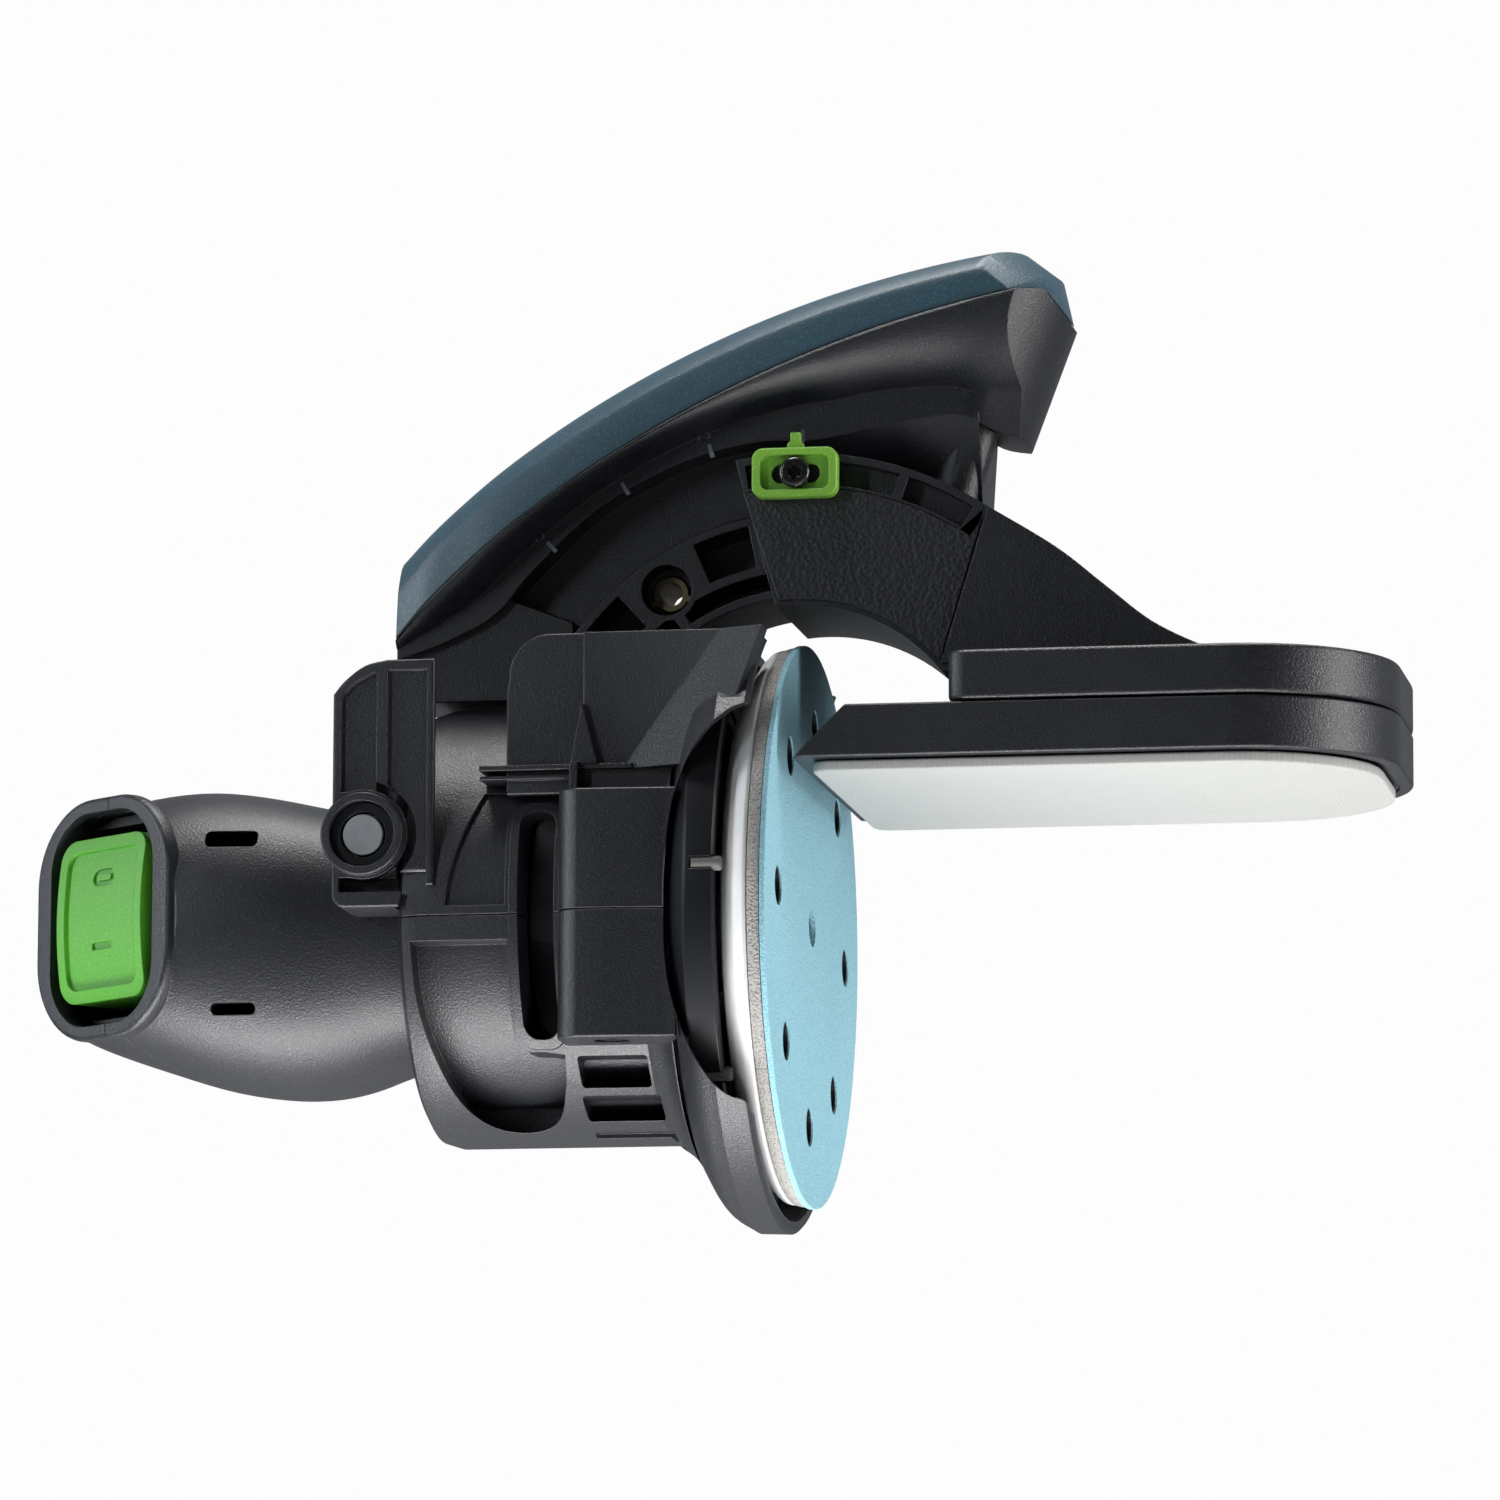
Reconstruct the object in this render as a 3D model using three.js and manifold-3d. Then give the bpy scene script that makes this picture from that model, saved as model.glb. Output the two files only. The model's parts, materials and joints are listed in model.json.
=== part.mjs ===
// Edge sander: a random-orbit sander held in an angle guide that has a palm handle and a slide shoe.
// Millimetres, +Z up. Inside the group `sander` the origin is the virtual pivot of the angle setting:
// the abrasive face lies in the plane x = 0, the slide face in z = 0, and y runs away from the front.
// The exported group shifts all of it so that its own origin is the centre of the slide face.
import * as THREE from "three";
import { mergeVertices } from "three/addons/utils/BufferGeometryUtils.js";
import Module from "manifold-3d";

const wasm = await Module();
wasm.setup();

// ---- Driving dimensions ----

const GAP = 0.3; // between faces of neighbouring pieces

// Motor and orbit
const SPINDLE_Z = -27; // height of the motor axis
const STROKE = 2; // the pad orbits on a circle of this diameter
const SHAFT_R = 4;
const SPINDLE_HOLE_R = SHAFT_R + 0.8;
const MOTOR_R = 22.3;
const DISC_R = 62.5;
const DISC_THICK = 1.2;
const FOAM_THICK = 2.6;
const PAD_BACK_X = -11;
const PAD_TOP_R = 55;
const DUST_HOLE_R = 4.4;
const DUST_HOLE_PCR = 45;
const DUST_HOLES = 8;
const DUST_HOLE_PHASE = 41;

// Guide frame round the motor
const FRAME_X = [-84, -24];
const FRAME_R = 49;
const FRAME_INNER_R = 40;
const HOOD_R = 69; // mouth of the flare round the pad
const HOOD_WALL = 2.8;
const HOOD_END_X = -5;
const SEAM_Z = -30.5; // where the two halves meet
const WALL_TOP_Z = 31.5;
const SLOT = { x: [-56.8, -48.6], z: [-57, -7.5] };
const PANEL = { x: [-47.7, -23.8], z: [-58.6, -4], y: -55 };

// Angle scale, rail and sector, all round the pivot
const HANDLE_EDGE_R = 79.7;
const RAIL_R = [43.9, 63.3];
const RAIL_DEPTH = 15; // half of its thickness in y
const RIB = 2.6;
const STUD_R = 70; // radius that the clamp stud and the pointer ride on
const STUD_HEAD_Y = 4; // depth of the groove for the stud's head, this side of the middle
const SECTOR_R = [41, 75];
const SECTOR_Y = [16, 22]; // inner and outer faces of its two cheeks
const SECTOR_INNER_WEB = 2.4;

// Shoe
const SHOE_HALF_Y = 47.5;
const SHOE_END_X = 132.5;
const SHOE_CORNER_R = 35;
const FELT = { x: [7, 128.5], halfY: 44.5, thick: 2.4 };
const LOWER_Z = [2.7, 14.3];
const UPPER_Z = [14.6, 25.7];
const UPPER_X = 37.2;
const ORIGIN_X = (FELT.x[0] + FELT.x[1]) / 2;

// Clamp block beside the frame
const BLOCK = { x: [-98.2, -75.5], z: [-28.5, 26.2], y: [-50, -34] };
const BOSS = { x: -91.3, z: -12.4, r: 9.2, bore: 7.3 };

// Grip head: stations of x, height above and below the motor axis, and half width
const GRIP_STATIONS = [
  [-175.5, 11, 12, 10],
  [-173.5, 18, 17.5, 18],
  [-168, 24.5, 22.5, 26],
  [-158, 28.5, 27, 32],
  [-144, 31.5, 31.6, 35],
  [-131, 32, 36, 36],
  [-115, 29, 38.2, 35],
  [-105, 26.5, 37.5, 33],
  [-96, 25.5, 35, 31],
  [-88, 25.5, 31, 30],
  [-58.4, 27, 29, 29],
];
const GRIP_WALL = 2.6;
const GRIP_SQUARENESS = 2.3; // exponent of the section's superellipse
const SWITCH = { x: -156, y: -20, z: -25.5, turn: -38, width: 36.5, height: 48 };

const ROCKER = { crownR: 30, spread: 38.5, proud: 3, back: 13, halfBack: 17.5, halfWidth: 15 };

// Ports on the far side
const DUST_PORT = { x: -46, r: 16, bore: 12.8, y: [42, 82] };
const INLET = { x: -116, z: -40, r: 12.5, bore: 9.4, y: [26, 58] };

const FINISHES = {
  black: { color: 0x15171c, roughness: 0.55, metalness: 0 },
  blackSmooth: { color: 0x101216, roughness: 0.35, metalness: 0 },
  petrol: { color: 0x22404f, roughness: 0.5, metalness: 0 },
  switchGreen: { color: 0x5bb52d, roughness: 0.45, metalness: 0 },
  pointerGreen: { color: 0x8fd04a, roughness: 0.5, metalness: 0 },
  abrasive: { color: 0x8fc4d2, roughness: 0.95, metalness: 0 },
  foam: { color: 0xa8a4a0, roughness: 0.9, metalness: 0 },
  pad: { color: 0xe4e4e2, roughness: 0.5, metalness: 0 },
  felt: { color: 0xc8c8c4, roughness: 1, metalness: 0 },
  rubber: { color: 0x6e6c68, roughness: 0.8, metalness: 0 },
  board: { color: 0x1f5a3a, roughness: 0.6, metalness: 0 },
  copper: { color: 0x9a5a34, roughness: 0.4, metalness: 0.8 },
  steel: { color: 0x9a9c9e, roughness: 0.35, metalness: 1 },
  darkSteel: { color: 0x2a2c30, roughness: 0.4, metalness: 1 },
  aluminium: { color: 0xb4b6b8, roughness: 0.4, metalness: 1 },
  brass: { color: 0x6a5a3a, roughness: 0.4, metalness: 1 },
};

// ---- Geometry helpers ----

const radians = (degrees) => (degrees * Math.PI) / 180;
const mix = (a, b, t) => a + (b - a) * t;

// A three.js geometry as a closed solid with its faces out.
function solid(geometry) {
  const loose = geometry.index ? geometry.toNonIndexed() : geometry;
  const bare = new THREE.BufferGeometry().setAttribute("position", loose.getAttribute("position"));
  const merged = mergeVertices(bare, 1e-4);
  const corners = [];
  for (let i = 0; i < merged.index.count; i += 3) {
    const [a, b, c] = merged.index.array.subarray(i, i + 3);
    if (a !== b && b !== c && c !== a) corners.push(a, b, c);
  }
  const vertProperties = merged.getAttribute("position").array;
  const make = (list) =>
    new wasm.Manifold(new wasm.Mesh({ numProp: 3, vertProperties, triVerts: Uint32Array.from(list) }));
  const made = make(corners);
  return made.volume() > 0 ? made : make(corners.reverse());
}

const join = (...pieces) => pieces.reduce((whole, piece) => whole.add(piece));
const cut = (whole, ...tools) => tools.reduce((rest, tool) => rest.subtract(tool), whole);

function box([x0, x1], [y0, y1], [z0, z1]) {
  const geometry = new THREE.BoxGeometry(x1 - x0, y1 - y0, z1 - z0);
  return solid(geometry.translate((x0 + x1) / 2, (y0 + y1) / 2, (z0 + z1) / 2));
}

// A cylinder or cone along an axis, at the other two coordinates (u, v) in x, y, z order.
function cylinder(axis, r, [from, to], [u, v], segments = 16, rTo = r) {
  const geometry = new THREE.CylinderGeometry(rTo, r, to - from, segments);
  geometry.translate(0, (from + to) / 2, 0);
  if (axis === "x") geometry.rotateZ(-Math.PI / 2).translate(0, u, v);
  if (axis === "y") geometry.translate(u, 0, v);
  if (axis === "z") geometry.rotateX(Math.PI / 2).translate(u, v, 0);
  return solid(geometry);
}

// A closed profile of [x, radius] turned about the x axis.
function turned(profile, segments = 28) {
  const points = [...profile, profile[0]].map(([x, r]) => new THREE.Vector2(Math.max(r, 0), x));
  return solid(new THREE.LatheGeometry(points, segments).rotateZ(-Math.PI / 2));
}

// An outline drawn in the two other axes, extruded along an axis between two planes.
function plate(axis, outline, [from, to], bevel = 0) {
  const shape = outline instanceof THREE.Shape ? outline : new THREE.Shape(outline);
  const geometry = new THREE.ExtrudeGeometry(shape, {
    depth: to - from - 2 * bevel,
    bevelEnabled: bevel > 0,
    bevelSize: bevel,
    bevelOffset: -bevel,
    bevelThickness: bevel,
    bevelSegments: 1,
    curveSegments: 8,
  }).translate(0, 0, bevel);
  if (axis === "y") geometry.rotateX(Math.PI / 2).translate(0, to, 0);
  if (axis === "z") geometry.translate(0, 0, from);
  if (axis === "x") {
    const turn = new THREE.Matrix4().makeBasis(
      new THREE.Vector3(0, 1, 0), new THREE.Vector3(0, 0, 1), new THREE.Vector3(1, 0, 0),
    );
    geometry.applyMatrix4(turn).translate(from, 0, 0);
  }
  return solid(geometry);
}

const points = (list) => list.map(([u, v]) => new THREE.Vector2(u, v));

// Points of an arc about (cu, cv); its angles run clockwise from straight up.
function arc(r, fromDeg, toDeg, stepDeg = 4, [cu, cv] = [0, 0]) {
  const steps = Math.max(1, Math.ceil(Math.abs(toDeg - fromDeg) / stepDeg));
  return Array.from({ length: steps + 1 }, (_, i) => {
    const a = radians(mix(fromDeg, toDeg, i / steps));
    return new THREE.Vector2(cu + r * Math.sin(a), cv + r * Math.cos(a));
  });
}

const ring = ([r0, r1], fromDeg, toDeg, stepDeg = 4) => [
  ...arc(r1, fromDeg, toDeg, stepDeg),
  ...arc(r0, toDeg, fromDeg, stepDeg),
];

function roundedRectangle([u0, u1], [v0, v1], r, stepDeg = 30) {
  return [
    ...arc(r, -90, 0, stepDeg, [u0 + r, v1 - r]),
    ...arc(r, 0, 90, stepDeg, [u1 - r, v1 - r]),
    ...arc(r, 90, 180, stepDeg, [u1 - r, v0 + r]),
    ...arc(r, 180, 270, stepDeg, [u0 + r, v0 + r]),
  ];
}

// Rings of equal length joined by strips, closed at both ends by fans about the ring's middle.
function loft(rings) {
  const position = [];
  const triangle = (a, b, c) => position.push(...a, ...b, ...c);
  const count = rings[0].length;
  const middle = (list) => [0, 1, 2].map((k) => list.reduce((sum, p) => sum + p[k], 0) / count);
  for (let i = 0; i < count; i += 1) {
    const next = (i + 1) % count;
    for (let s = 0; s + 1 < rings.length; s += 1) {
      triangle(rings[s][i], rings[s][next], rings[s + 1][next]);
      triangle(rings[s][i], rings[s + 1][next], rings[s + 1][i]);
    }
    triangle(middle(rings[0]), rings[0][next], rings[0][i]);
    triangle(middle(rings.at(-1)), rings.at(-1)[i], rings.at(-1)[next]);
  }
  return solid(new THREE.BufferGeometry().setAttribute("position", new THREE.Float32BufferAttribute(position, 3)));
}

// The height at x of the circle through three points, on its upper side.
function circleHeight([ax, az], [bx, bz], [cx, cz]) {
  const d = 2 * (ax * (bz - cz) + bx * (cz - az) + cx * (az - bz));
  const [a2, b2, c2] = [ax * ax + az * az, bx * bx + bz * bz, cx * cx + cz * cz];
  const ux = (a2 * (bz - cz) + b2 * (cz - az) + c2 * (az - bz)) / d;
  const uz = (a2 * (cx - bx) + b2 * (ax - cx) + c2 * (bx - ax)) / d;
  const r = Math.hypot(ax - ux, az - uz);
  return (x) => uz + Math.sqrt(r * r - (x - ux) ** 2);
}

// Adds one named piece to a group.
function piece(group, name, body, finish) {
  const { vertProperties, triVerts } = body.getMesh();
  const geometry = new THREE.BufferGeometry();
  geometry.setAttribute("position", new THREE.BufferAttribute(vertProperties, 3));
  geometry.setIndex(new THREE.BufferAttribute(triVerts, 1));
  const mesh = new THREE.Mesh(geometry, new THREE.MeshStandardMaterial(FINISHES[finish]));
  mesh.name = name;
  group.add(mesh);
  return mesh;
}

const group = (parent, x = 0, y = 0, z = 0) => {
  const made = new THREE.Group();
  made.position.set(x, y, z);
  parent.add(made);
  return made;
};

// ---- Screws: a head and a shank along the drive direction, standing at the head's seat ----

const SCREW = { headR: 3.4, headH: 2.2, shankR: 1.6, socketR: 1.3, socketDepth: 1.2 };

function screwBody(length, { headR, headH, shankR, socketR, socketDepth } = SCREW) {
  const whole = join(
    cylinder("z", headR, [0, headH], [0, 0], 12, headR * 0.85),
    cylinder("z", shankR, [-length, 0.01], [0, 0], 8),
  );
  return cut(whole, cylinder("z", socketR, [headH - socketDepth, headH + 1], [0, 0], 6));
}

// A screw whose head looks along `out`, with its seat at (x, y, z).
function screw(parent, name, [x, y, z], out, length) {
  const mesh = piece(parent, name, screwBody(length), "darkSteel");
  mesh.position.set(x, y, z);
  mesh.quaternion.setFromUnitVectors(new THREE.Vector3(0, 0, 1), new THREE.Vector3(...out).normalize());
}

// The hole that a screw leaves in what it holds: a clear shank hole and a counterbore outwards.
function screwHole([x, y, z], out, length, depth = 8) {
  const shank = new THREE.CylinderGeometry(SCREW.shankR + GAP, SCREW.shankR + GAP, length + 1, 8);
  shank.rotateX(Math.PI / 2).translate(0, 0, -(length + 1) / 2);
  const bore = new THREE.CylinderGeometry(SCREW.headR + 0.5, SCREW.headR + 0.5, depth, 12);
  bore.rotateX(Math.PI / 2).translate(0, 0, depth / 2 - GAP);
  const turn = new THREE.Quaternion().setFromUnitVectors(
    new THREE.Vector3(0, 0, 1), new THREE.Vector3(...out).normalize(),
  );
  const place = new THREE.Matrix4().compose(new THREE.Vector3(x, y, z), turn, new THREE.Vector3(1, 1, 1));
  return join(solid(shank.applyMatrix4(place)), solid(bore.applyMatrix4(place)));
}

// ---- Grip head: two shells round the motor ----

function gripLoft(inset, [fromX, toX]) {
  const count = 16;
  const signedPower = (v) => Math.sign(v) * Math.abs(v) ** (2 / GRIP_SQUARENESS);
  const rings = GRIP_STATIONS.map(([x, above, below, half]) =>
    Array.from({ length: count }, (_, i) => {
      const a = (2 * Math.PI * i) / count;
      const [c, s] = [signedPower(Math.cos(a)), signedPower(Math.sin(a))];
      const height = (s > 0 ? above : below) - inset;
      return [Math.min(Math.max(x, fromX), toX), (half - inset) * c, SPINDLE_Z + height * s];
    }),
  );
  return loft(rings.filter((r, i) => i === rings.length - 1 || r[0][0] < rings[i + 1][0][0]));
}

// The region in front of the seam between the two shells, seen from above.
const gripFront = () =>
  plate("z", points([[-57, 3], [-122, 3], [-140, -6], [-154, -21], [-168, -36], [-168, -60], [-57, -60]]),
    [-80, 20]);

// A geometry given in the switch's own frame, turned and moved onto the bezel.
function atSwitch(geometry) {
  return solid(geometry.rotateZ(radians(SWITCH.turn)).translate(SWITCH.x, SWITCH.y, SWITCH.z));
}

const switchBox = (w, [y0, y1], h, r) => {
  const shape = new THREE.Shape(roundedRectangle([-w / 2, w / 2], [-h / 2, h / 2], r));
  const geometry = new THREE.ExtrudeGeometry(shape, { depth: y1 - y0, bevelEnabled: false });
  return geometry.rotateX(Math.PI / 2).translate(0, y1, 0);
};

function gripShells(guide) {
  const { width, height } = SWITCH;
  const shell = cut(gripLoft(0, [-200, 0]), gripLoft(GRIP_WALL, [-172, 0]), box([-59, -50], [-50, 50], [-80, 30]));
  const trimmed = cut(shell, atSwitch(switchBox(90, [-40, 0], 90, 2)));
  const bezel = join(
    atSwitch(switchBox(width + 12, [-1.6, 8], height + 7, 19)).intersect(join(gripLoft(0.2, [-200, 0]),
      atSwitch(switchBox(width + 12, [-1.6, 1], height + 7, 19)))),
    trimmed,
  );
  const opened = cut(
    bezel,
    atSwitch(switchBox(width, [-6, 30], height, 13)),
    cylinder("y", INLET.r + 0.6, [10, 70], [INLET.x, INLET.z], 20),
  );
  const front = gripFront();
  const seam = GAP / 2;
  const shiftedFront = gripFront().translate(0, -seam, 0);
  const shiftedBack = front.translate(0, seam, 0);
  piece(guide, "grip_shell_front", opened.intersect(shiftedFront), "black");
  piece(guide, "grip_shell_rear", opened.subtract(shiftedBack), "black");
}

function switchUnit(guide) {
  const { width, height } = SWITCH;
  const tray = cut(
    atSwitch(switchBox(width - 2 * GAP, [6, 22], height - 2 * GAP, 12.6)),
    atSwitch(switchBox(width - 3, [0, 16], height - 5, 6)),
  );
  piece(guide, "switch_module", tray, "blackSmooth");
  const holder = group(guide, SWITCH.x, SWITCH.y, SWITCH.z);
  holder.rotation.z = radians(SWITCH.turn);
  const crown = arc(ROCKER.crownR, -ROCKER.spread, ROCKER.spread, 8);
  const profile = [
    ...crown.map((p) => [ROCKER.crownR - ROCKER.proud - p.y, p.x]),
    [ROCKER.back, ROCKER.halfBack], [ROCKER.back, -ROCKER.halfBack],
  ];
  const rocker = plate("x", points(profile), [-ROCKER.halfWidth, ROCKER.halfWidth], 0.8);
  piece(holder, "switch_rocker", rocker, "switchGreen");
}

// ---- Motor, inside the grip head ----

function motor(guide, spindle) {
  piece(guide, "motor_carrier", turned([
    [-121, SPINDLE_HOLE_R], [-121, MOTOR_R], [-66, MOTOR_R], [-66, MOTOR_R - 2], [-113, MOTOR_R - 2],
    [-113, 9.9], [-119.5, 9.9], [-119.5, SPINDLE_HOLE_R],
  ], 24).translate(0, 0, SPINDLE_Z), "blackSmooth");
  piece(guide, "motor_bearing_rear", turned([
    [-119.2, 4.4], [-119.2, 9.5], [-113.2, 9.5], [-113.2, 4.4],
  ], 20).translate(0, 0, SPINDLE_Z), "steel");
  piece(guide, "stator", turned([
    [-108, 12.8], [-108, 19.8], [-72, 19.8], [-72, 12.8],
  ], 24).translate(0, 0, SPINDLE_Z), "copper");
  piece(guide, "motor_bearing_front", turned([
    [-61, 4.4], [-61, 10.6], [-55, 10.6], [-55, 4.4],
  ], 20).translate(0, 0, SPINDLE_Z), "steel");
  piece(guide, "control_board", box([-148, -118], [-8, 14], [-52, -50.4]), "board");
  piece(spindle, "motor_shaft", turned([[-122, 0], [-122, SHAFT_R], [-36, SHAFT_R], [-36, 0]], 24), "steel");
  piece(spindle, "rotor", turned([
    [-106, SHAFT_R + GAP], [-106, 12], [-74, 12], [-74, SHAFT_R + GAP],
  ], 24), "darkSteel");
}

// Radial blades on a back plate, which draw the dust through the pad.
function fan(spindle) {
  const blades = 7;
  let body = turned([[-53, SHAFT_R + GAP], [-53, 30], [-51.5, 30], [-51.5, 8], [-46, 8], [-46, SHAFT_R + GAP]], 24);
  for (let i = 0; i < blades; i += 1) {
    const blade = new THREE.BoxGeometry(6, 1.6, 20).translate(-49, 0, 19);
    blade.rotateX((2 * Math.PI * i) / blades);
    body = body.add(solid(blade));
  }
  piece(spindle, "fan", body, "blackSmooth");
}

// The counterweight and the cup that carries the pad bearing off centre.
function eccentric(spindle) {
  const weight = cut(
    plate("x", [...arc(30, -100, 100, 15), ...arc(10, 100, -100, 25)], [-44.5, -38]),
    cylinder("x", 14.7, [-50, -30], [0, 0], 24),
  );
  const cup = cut(
    turned([[-44.5, 0], [-44.5, 15], [-20, 15], [-20, 0]], 24),
    cylinder("x", SHAFT_R + 0.5, [-46, -35.5], [0, 0], 20),
    cylinder("x", 11.7, [-34, -10], [0, -STROKE / 2], 24),
  );
  const bridge = plate("x", [...arc(16.5, -90, 90, 15), ...arc(13, 90, -90, 15)], [-44.5, -38]);
  piece(spindle, "eccentric", cut(join(weight, cup, bridge), cylinder("x", 11.7, [-34, -10], [0, -STROKE / 2], 24)),
    "aluminium");
}

function fanHousing(guide) {
  const body = turned([
    [-57.9, 11], [-57.9, 30], [-51, 38.6], [-32, 38.6], [-27.5, 45], [-24, 50], [-20.3, 50], [-20.3, 47.5],
    [-24, 47.5], [-31, 36.2], [-50, 36.2], [-54.6, 28], [-54.6, 11],
  ]).translate(0, 0, SPINDLE_Z);
  const portHole = cylinder("y", DUST_PORT.bore, [20, 60], [DUST_PORT.x + 3, SPINDLE_Z], 16);
  piece(guide, "fan_housing", cut(body, portHole), "blackSmooth");
}

const BRAKE_PINS = [85, 131, 229, 275]; // degrees from straight up
const BRAKE_PIN = { at: 59.2, r: 1.6, x: [-16.5, -9.9] };
const BRAKE_EDGE_X = -11.6;

// The ring over the pad, and the rubber pins that keep the pad from spinning up.
function brakeRing(guide) {
  const body = turned([
    [-23, 50.4], [-23, 52.5], [-18.5, 60.6], [BRAKE_EDGE_X, 60.6], [BRAKE_EDGE_X, 57.6], [-17, 57.2],
    [-19.8, 50.4],
  ]).translate(0, 0, SPINDLE_Z);
  const bores = BRAKE_PINS.map((a) => brakePin(a, BRAKE_PIN.r + GAP, [-16.8, -5]));
  piece(guide, "brake_ring", cut(body, ...bores), "black");
  BRAKE_PINS.forEach((a, i) => piece(guide, `brake_pin_${i + 1}`, brakePin(a, BRAKE_PIN.r, BRAKE_PIN.x), "rubber"));
}

function brakePin(angle, r, span) {
  const a = radians(angle);
  return cylinder("x", r, span, [-BRAKE_PIN.at * Math.sin(a), SPINDLE_Z + BRAKE_PIN.at * Math.cos(a)], 10);
}

// ---- Orbiting pad, in the frame of its own axis ----

const dustHoles = () =>
  Array.from({ length: DUST_HOLES }, (_, i) => {
    const a = radians(DUST_HOLE_PHASE + (360 / DUST_HOLES) * i);
    return cylinder("x", DUST_HOLE_R, [-30, 5], [-DUST_HOLE_PCR * Math.sin(a), DUST_HOLE_PCR * Math.cos(a)], 8);
  });

function orbitingPad(pad) {
  const foamX = -DISC_THICK - GAP;
  const backX = foamX - FOAM_THICK - GAP;
  piece(pad, "pad_bearing", turned([[-33, 5.4], [-33, 11], [-24, 11], [-24, 5.4]], 24), "steel");
  const hub = turned([
    [-32.6, 2.4], [-32.6, 5], [-23.2, 5], [-23.2, 9], [-19.4, 9], [-15.5, 18], [PAD_BACK_X, 24],
    [PAD_BACK_X, PAD_TOP_R], [backX - 1.2, DISC_R - 1], [backX, DISC_R - 1], [backX, 2.4],
  ]);
  piece(pad, "backing_pad", cut(hub, ...dustHoles()), "pad");
  piece(pad, "pad_foam", cut(turned([
    [foamX - FOAM_THICK, 6], [foamX - FOAM_THICK, DISC_R - 0.6], [foamX, DISC_R - 0.4], [foamX, 6],
  ]), ...dustHoles()), "foam");
  piece(pad, "abrasive_disc", cut(turned([
    [-DISC_THICK, DUST_HOLE_R], [-DISC_THICK, DISC_R], [0, DISC_R], [0, DUST_HOLE_R],
  ], 40), ...dustHoles()), "abrasive");
  piece(pad, "pad_screw", cut(
    turned([[-31, 0], [-31, 2], [backX + 0.3, 2], [backX + 0.3, 4], [foamX - 0.2, 4], [foamX - 0.2, 0]], 16),
    cylinder("x", 1.8, [foamX - 1.6, 0], [0, 0], 6),
  ), "darkSteel");
}

// ---- Guide frame: upper and lower halves round the motor, with the flare over the pad ----

function frameBlank() {
  const [left, right] = FRAME_X;
  const outer = turned([
    [left, 0], [left, FRAME_R - 3.5], [left + 1.5, FRAME_R - 1], [left + 5, FRAME_R], [right - 5, FRAME_R], [right, 54.5], [-17.8, 65],
    [-12, HOOD_R], [HOOD_END_X, HOOD_R], [HOOD_END_X, 0],
  ]);
  const inner = turned([
    [left - 1, 0], [left - 1, 33.6], [left + 4, 33.6], [left + 4, FRAME_INNER_R], [-33, FRAME_INNER_R],
    [right - 4.6, 46.2], [right - 1, 51.8], [-19.5, 61.5], [-13, HOOD_R - HOOD_WALL],
    [HOOD_END_X + 1, HOOD_R - HOOD_WALL], [HOOD_END_X + 1, 0],
  ]);
  const panel = plate("y", roundedRectangle(PANEL.x, PANEL.z, 3), [PANEL.y, -38], 1.2);
  const wallOutline = [
    ...points([[-8.5, -4], [-60, -4], [-60, 18]]),
    ...arc(9, -90, 0, 15, [-50.5, WALL_TOP_Z - 9]),
    ...points([[-2.6, WALL_TOP_Z], [-8.5, 14]]),
  ];
  const wall = (y0, y1) => plate("y", wallOutline, [y0, y1], 0.6);
  const walls = join(wall(-48, -44.5), wall(44.5, 48));
  return cut(
    join(outer.translate(0, 0, SPINDLE_Z), panel, walls),
    inner.translate(0, 0, SPINDLE_Z),
  );
}

// The window in the flare, through which the brake ring shows.
const hoodWindow = () =>
  plate("y", points([
    [2, 12.5], [-6, 12.5], [-9, 10.5], [-14.7, 5], [-20, -3], [-23.6, -20], [-23.6, -45], [-20, -58],
    [-13.9, -67.5], [-9, -72], [-6.2, -73.7], [2, -74],
  ]), [-80, -30]);

// A scooped finger recess in the lower half.
function scoop() {
  const outline = points([
    [-80.5, -36], [-79, -52], [-74, -68], [-69.5, -78.5], [-54, -78.5], [-49.5, -70], [-47.8, -61], [-58.5, -53.5],
    [-59.6, -36],
  ]);
  return cut(plate("y", outline, [-60, -5]), cylinder("x", FRAME_INNER_R + 2.2, [-90, -40], [0, SPINDLE_Z], 36));
}

// The stepped pocket under the front panel.
const lowerPocket = () =>
  cut(plate("y", roundedRectangle([-46, -28], [-74, -60.5], 1), [-60, -20]),
    cylinder("x", FRAME_INNER_R + 4, [-60, -20], [0, SPINDLE_Z], 36));

// The swept space of the sector above the frame.
const sectorSweep = () => plate("y", ring([40.2, 90], -58, 95, 6), [-24.5, 24.5]);

const FRAME_SCREWS = [
  { at: [-36, -47.5, -56], out: [0, 0, -1] },
  { at: [-77, 44, -42], out: [0, 0, -1] },
  { at: [-66.5, 44, -42], out: [0, 0, -1] },
];

function guideFrame(guide) {
  const slot = plate("y", roundedRectangle(SLOT.x, SLOT.z, 3.5), [-60, -20]);
  const whole = cut(
    frameBlank(), hoodWindow(), slot, scoop(), lowerPocket(), sectorSweep(),
    cylinder("y", DUST_PORT.r + 0.7, [30, 60], [DUST_PORT.x, SPINDLE_Z], 20),
    box([-90, 0], [-90, 90], [WALL_TOP_Z, 60]),
    ...FRAME_SCREWS.map(({ at, out }) => screwHole(at, out, 24)),
  );
  const seam = GAP / 2;
  const space = [[-120, 20], [-90, 90]];
  piece(guide, "guide_frame_upper", whole.intersect(box(...space, [SEAM_Z + seam, 60])), "black");
  piece(guide, "guide_frame_lower", whole.intersect(box(...space, [-110, SEAM_Z - seam])), "black");
  FRAME_SCREWS.forEach(({ at, out }, i) => screw(guide, `frame_screw_${i + 1}`, at, out, 23));
}

// ---- Clamp block, its bush and its pin ----

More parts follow.
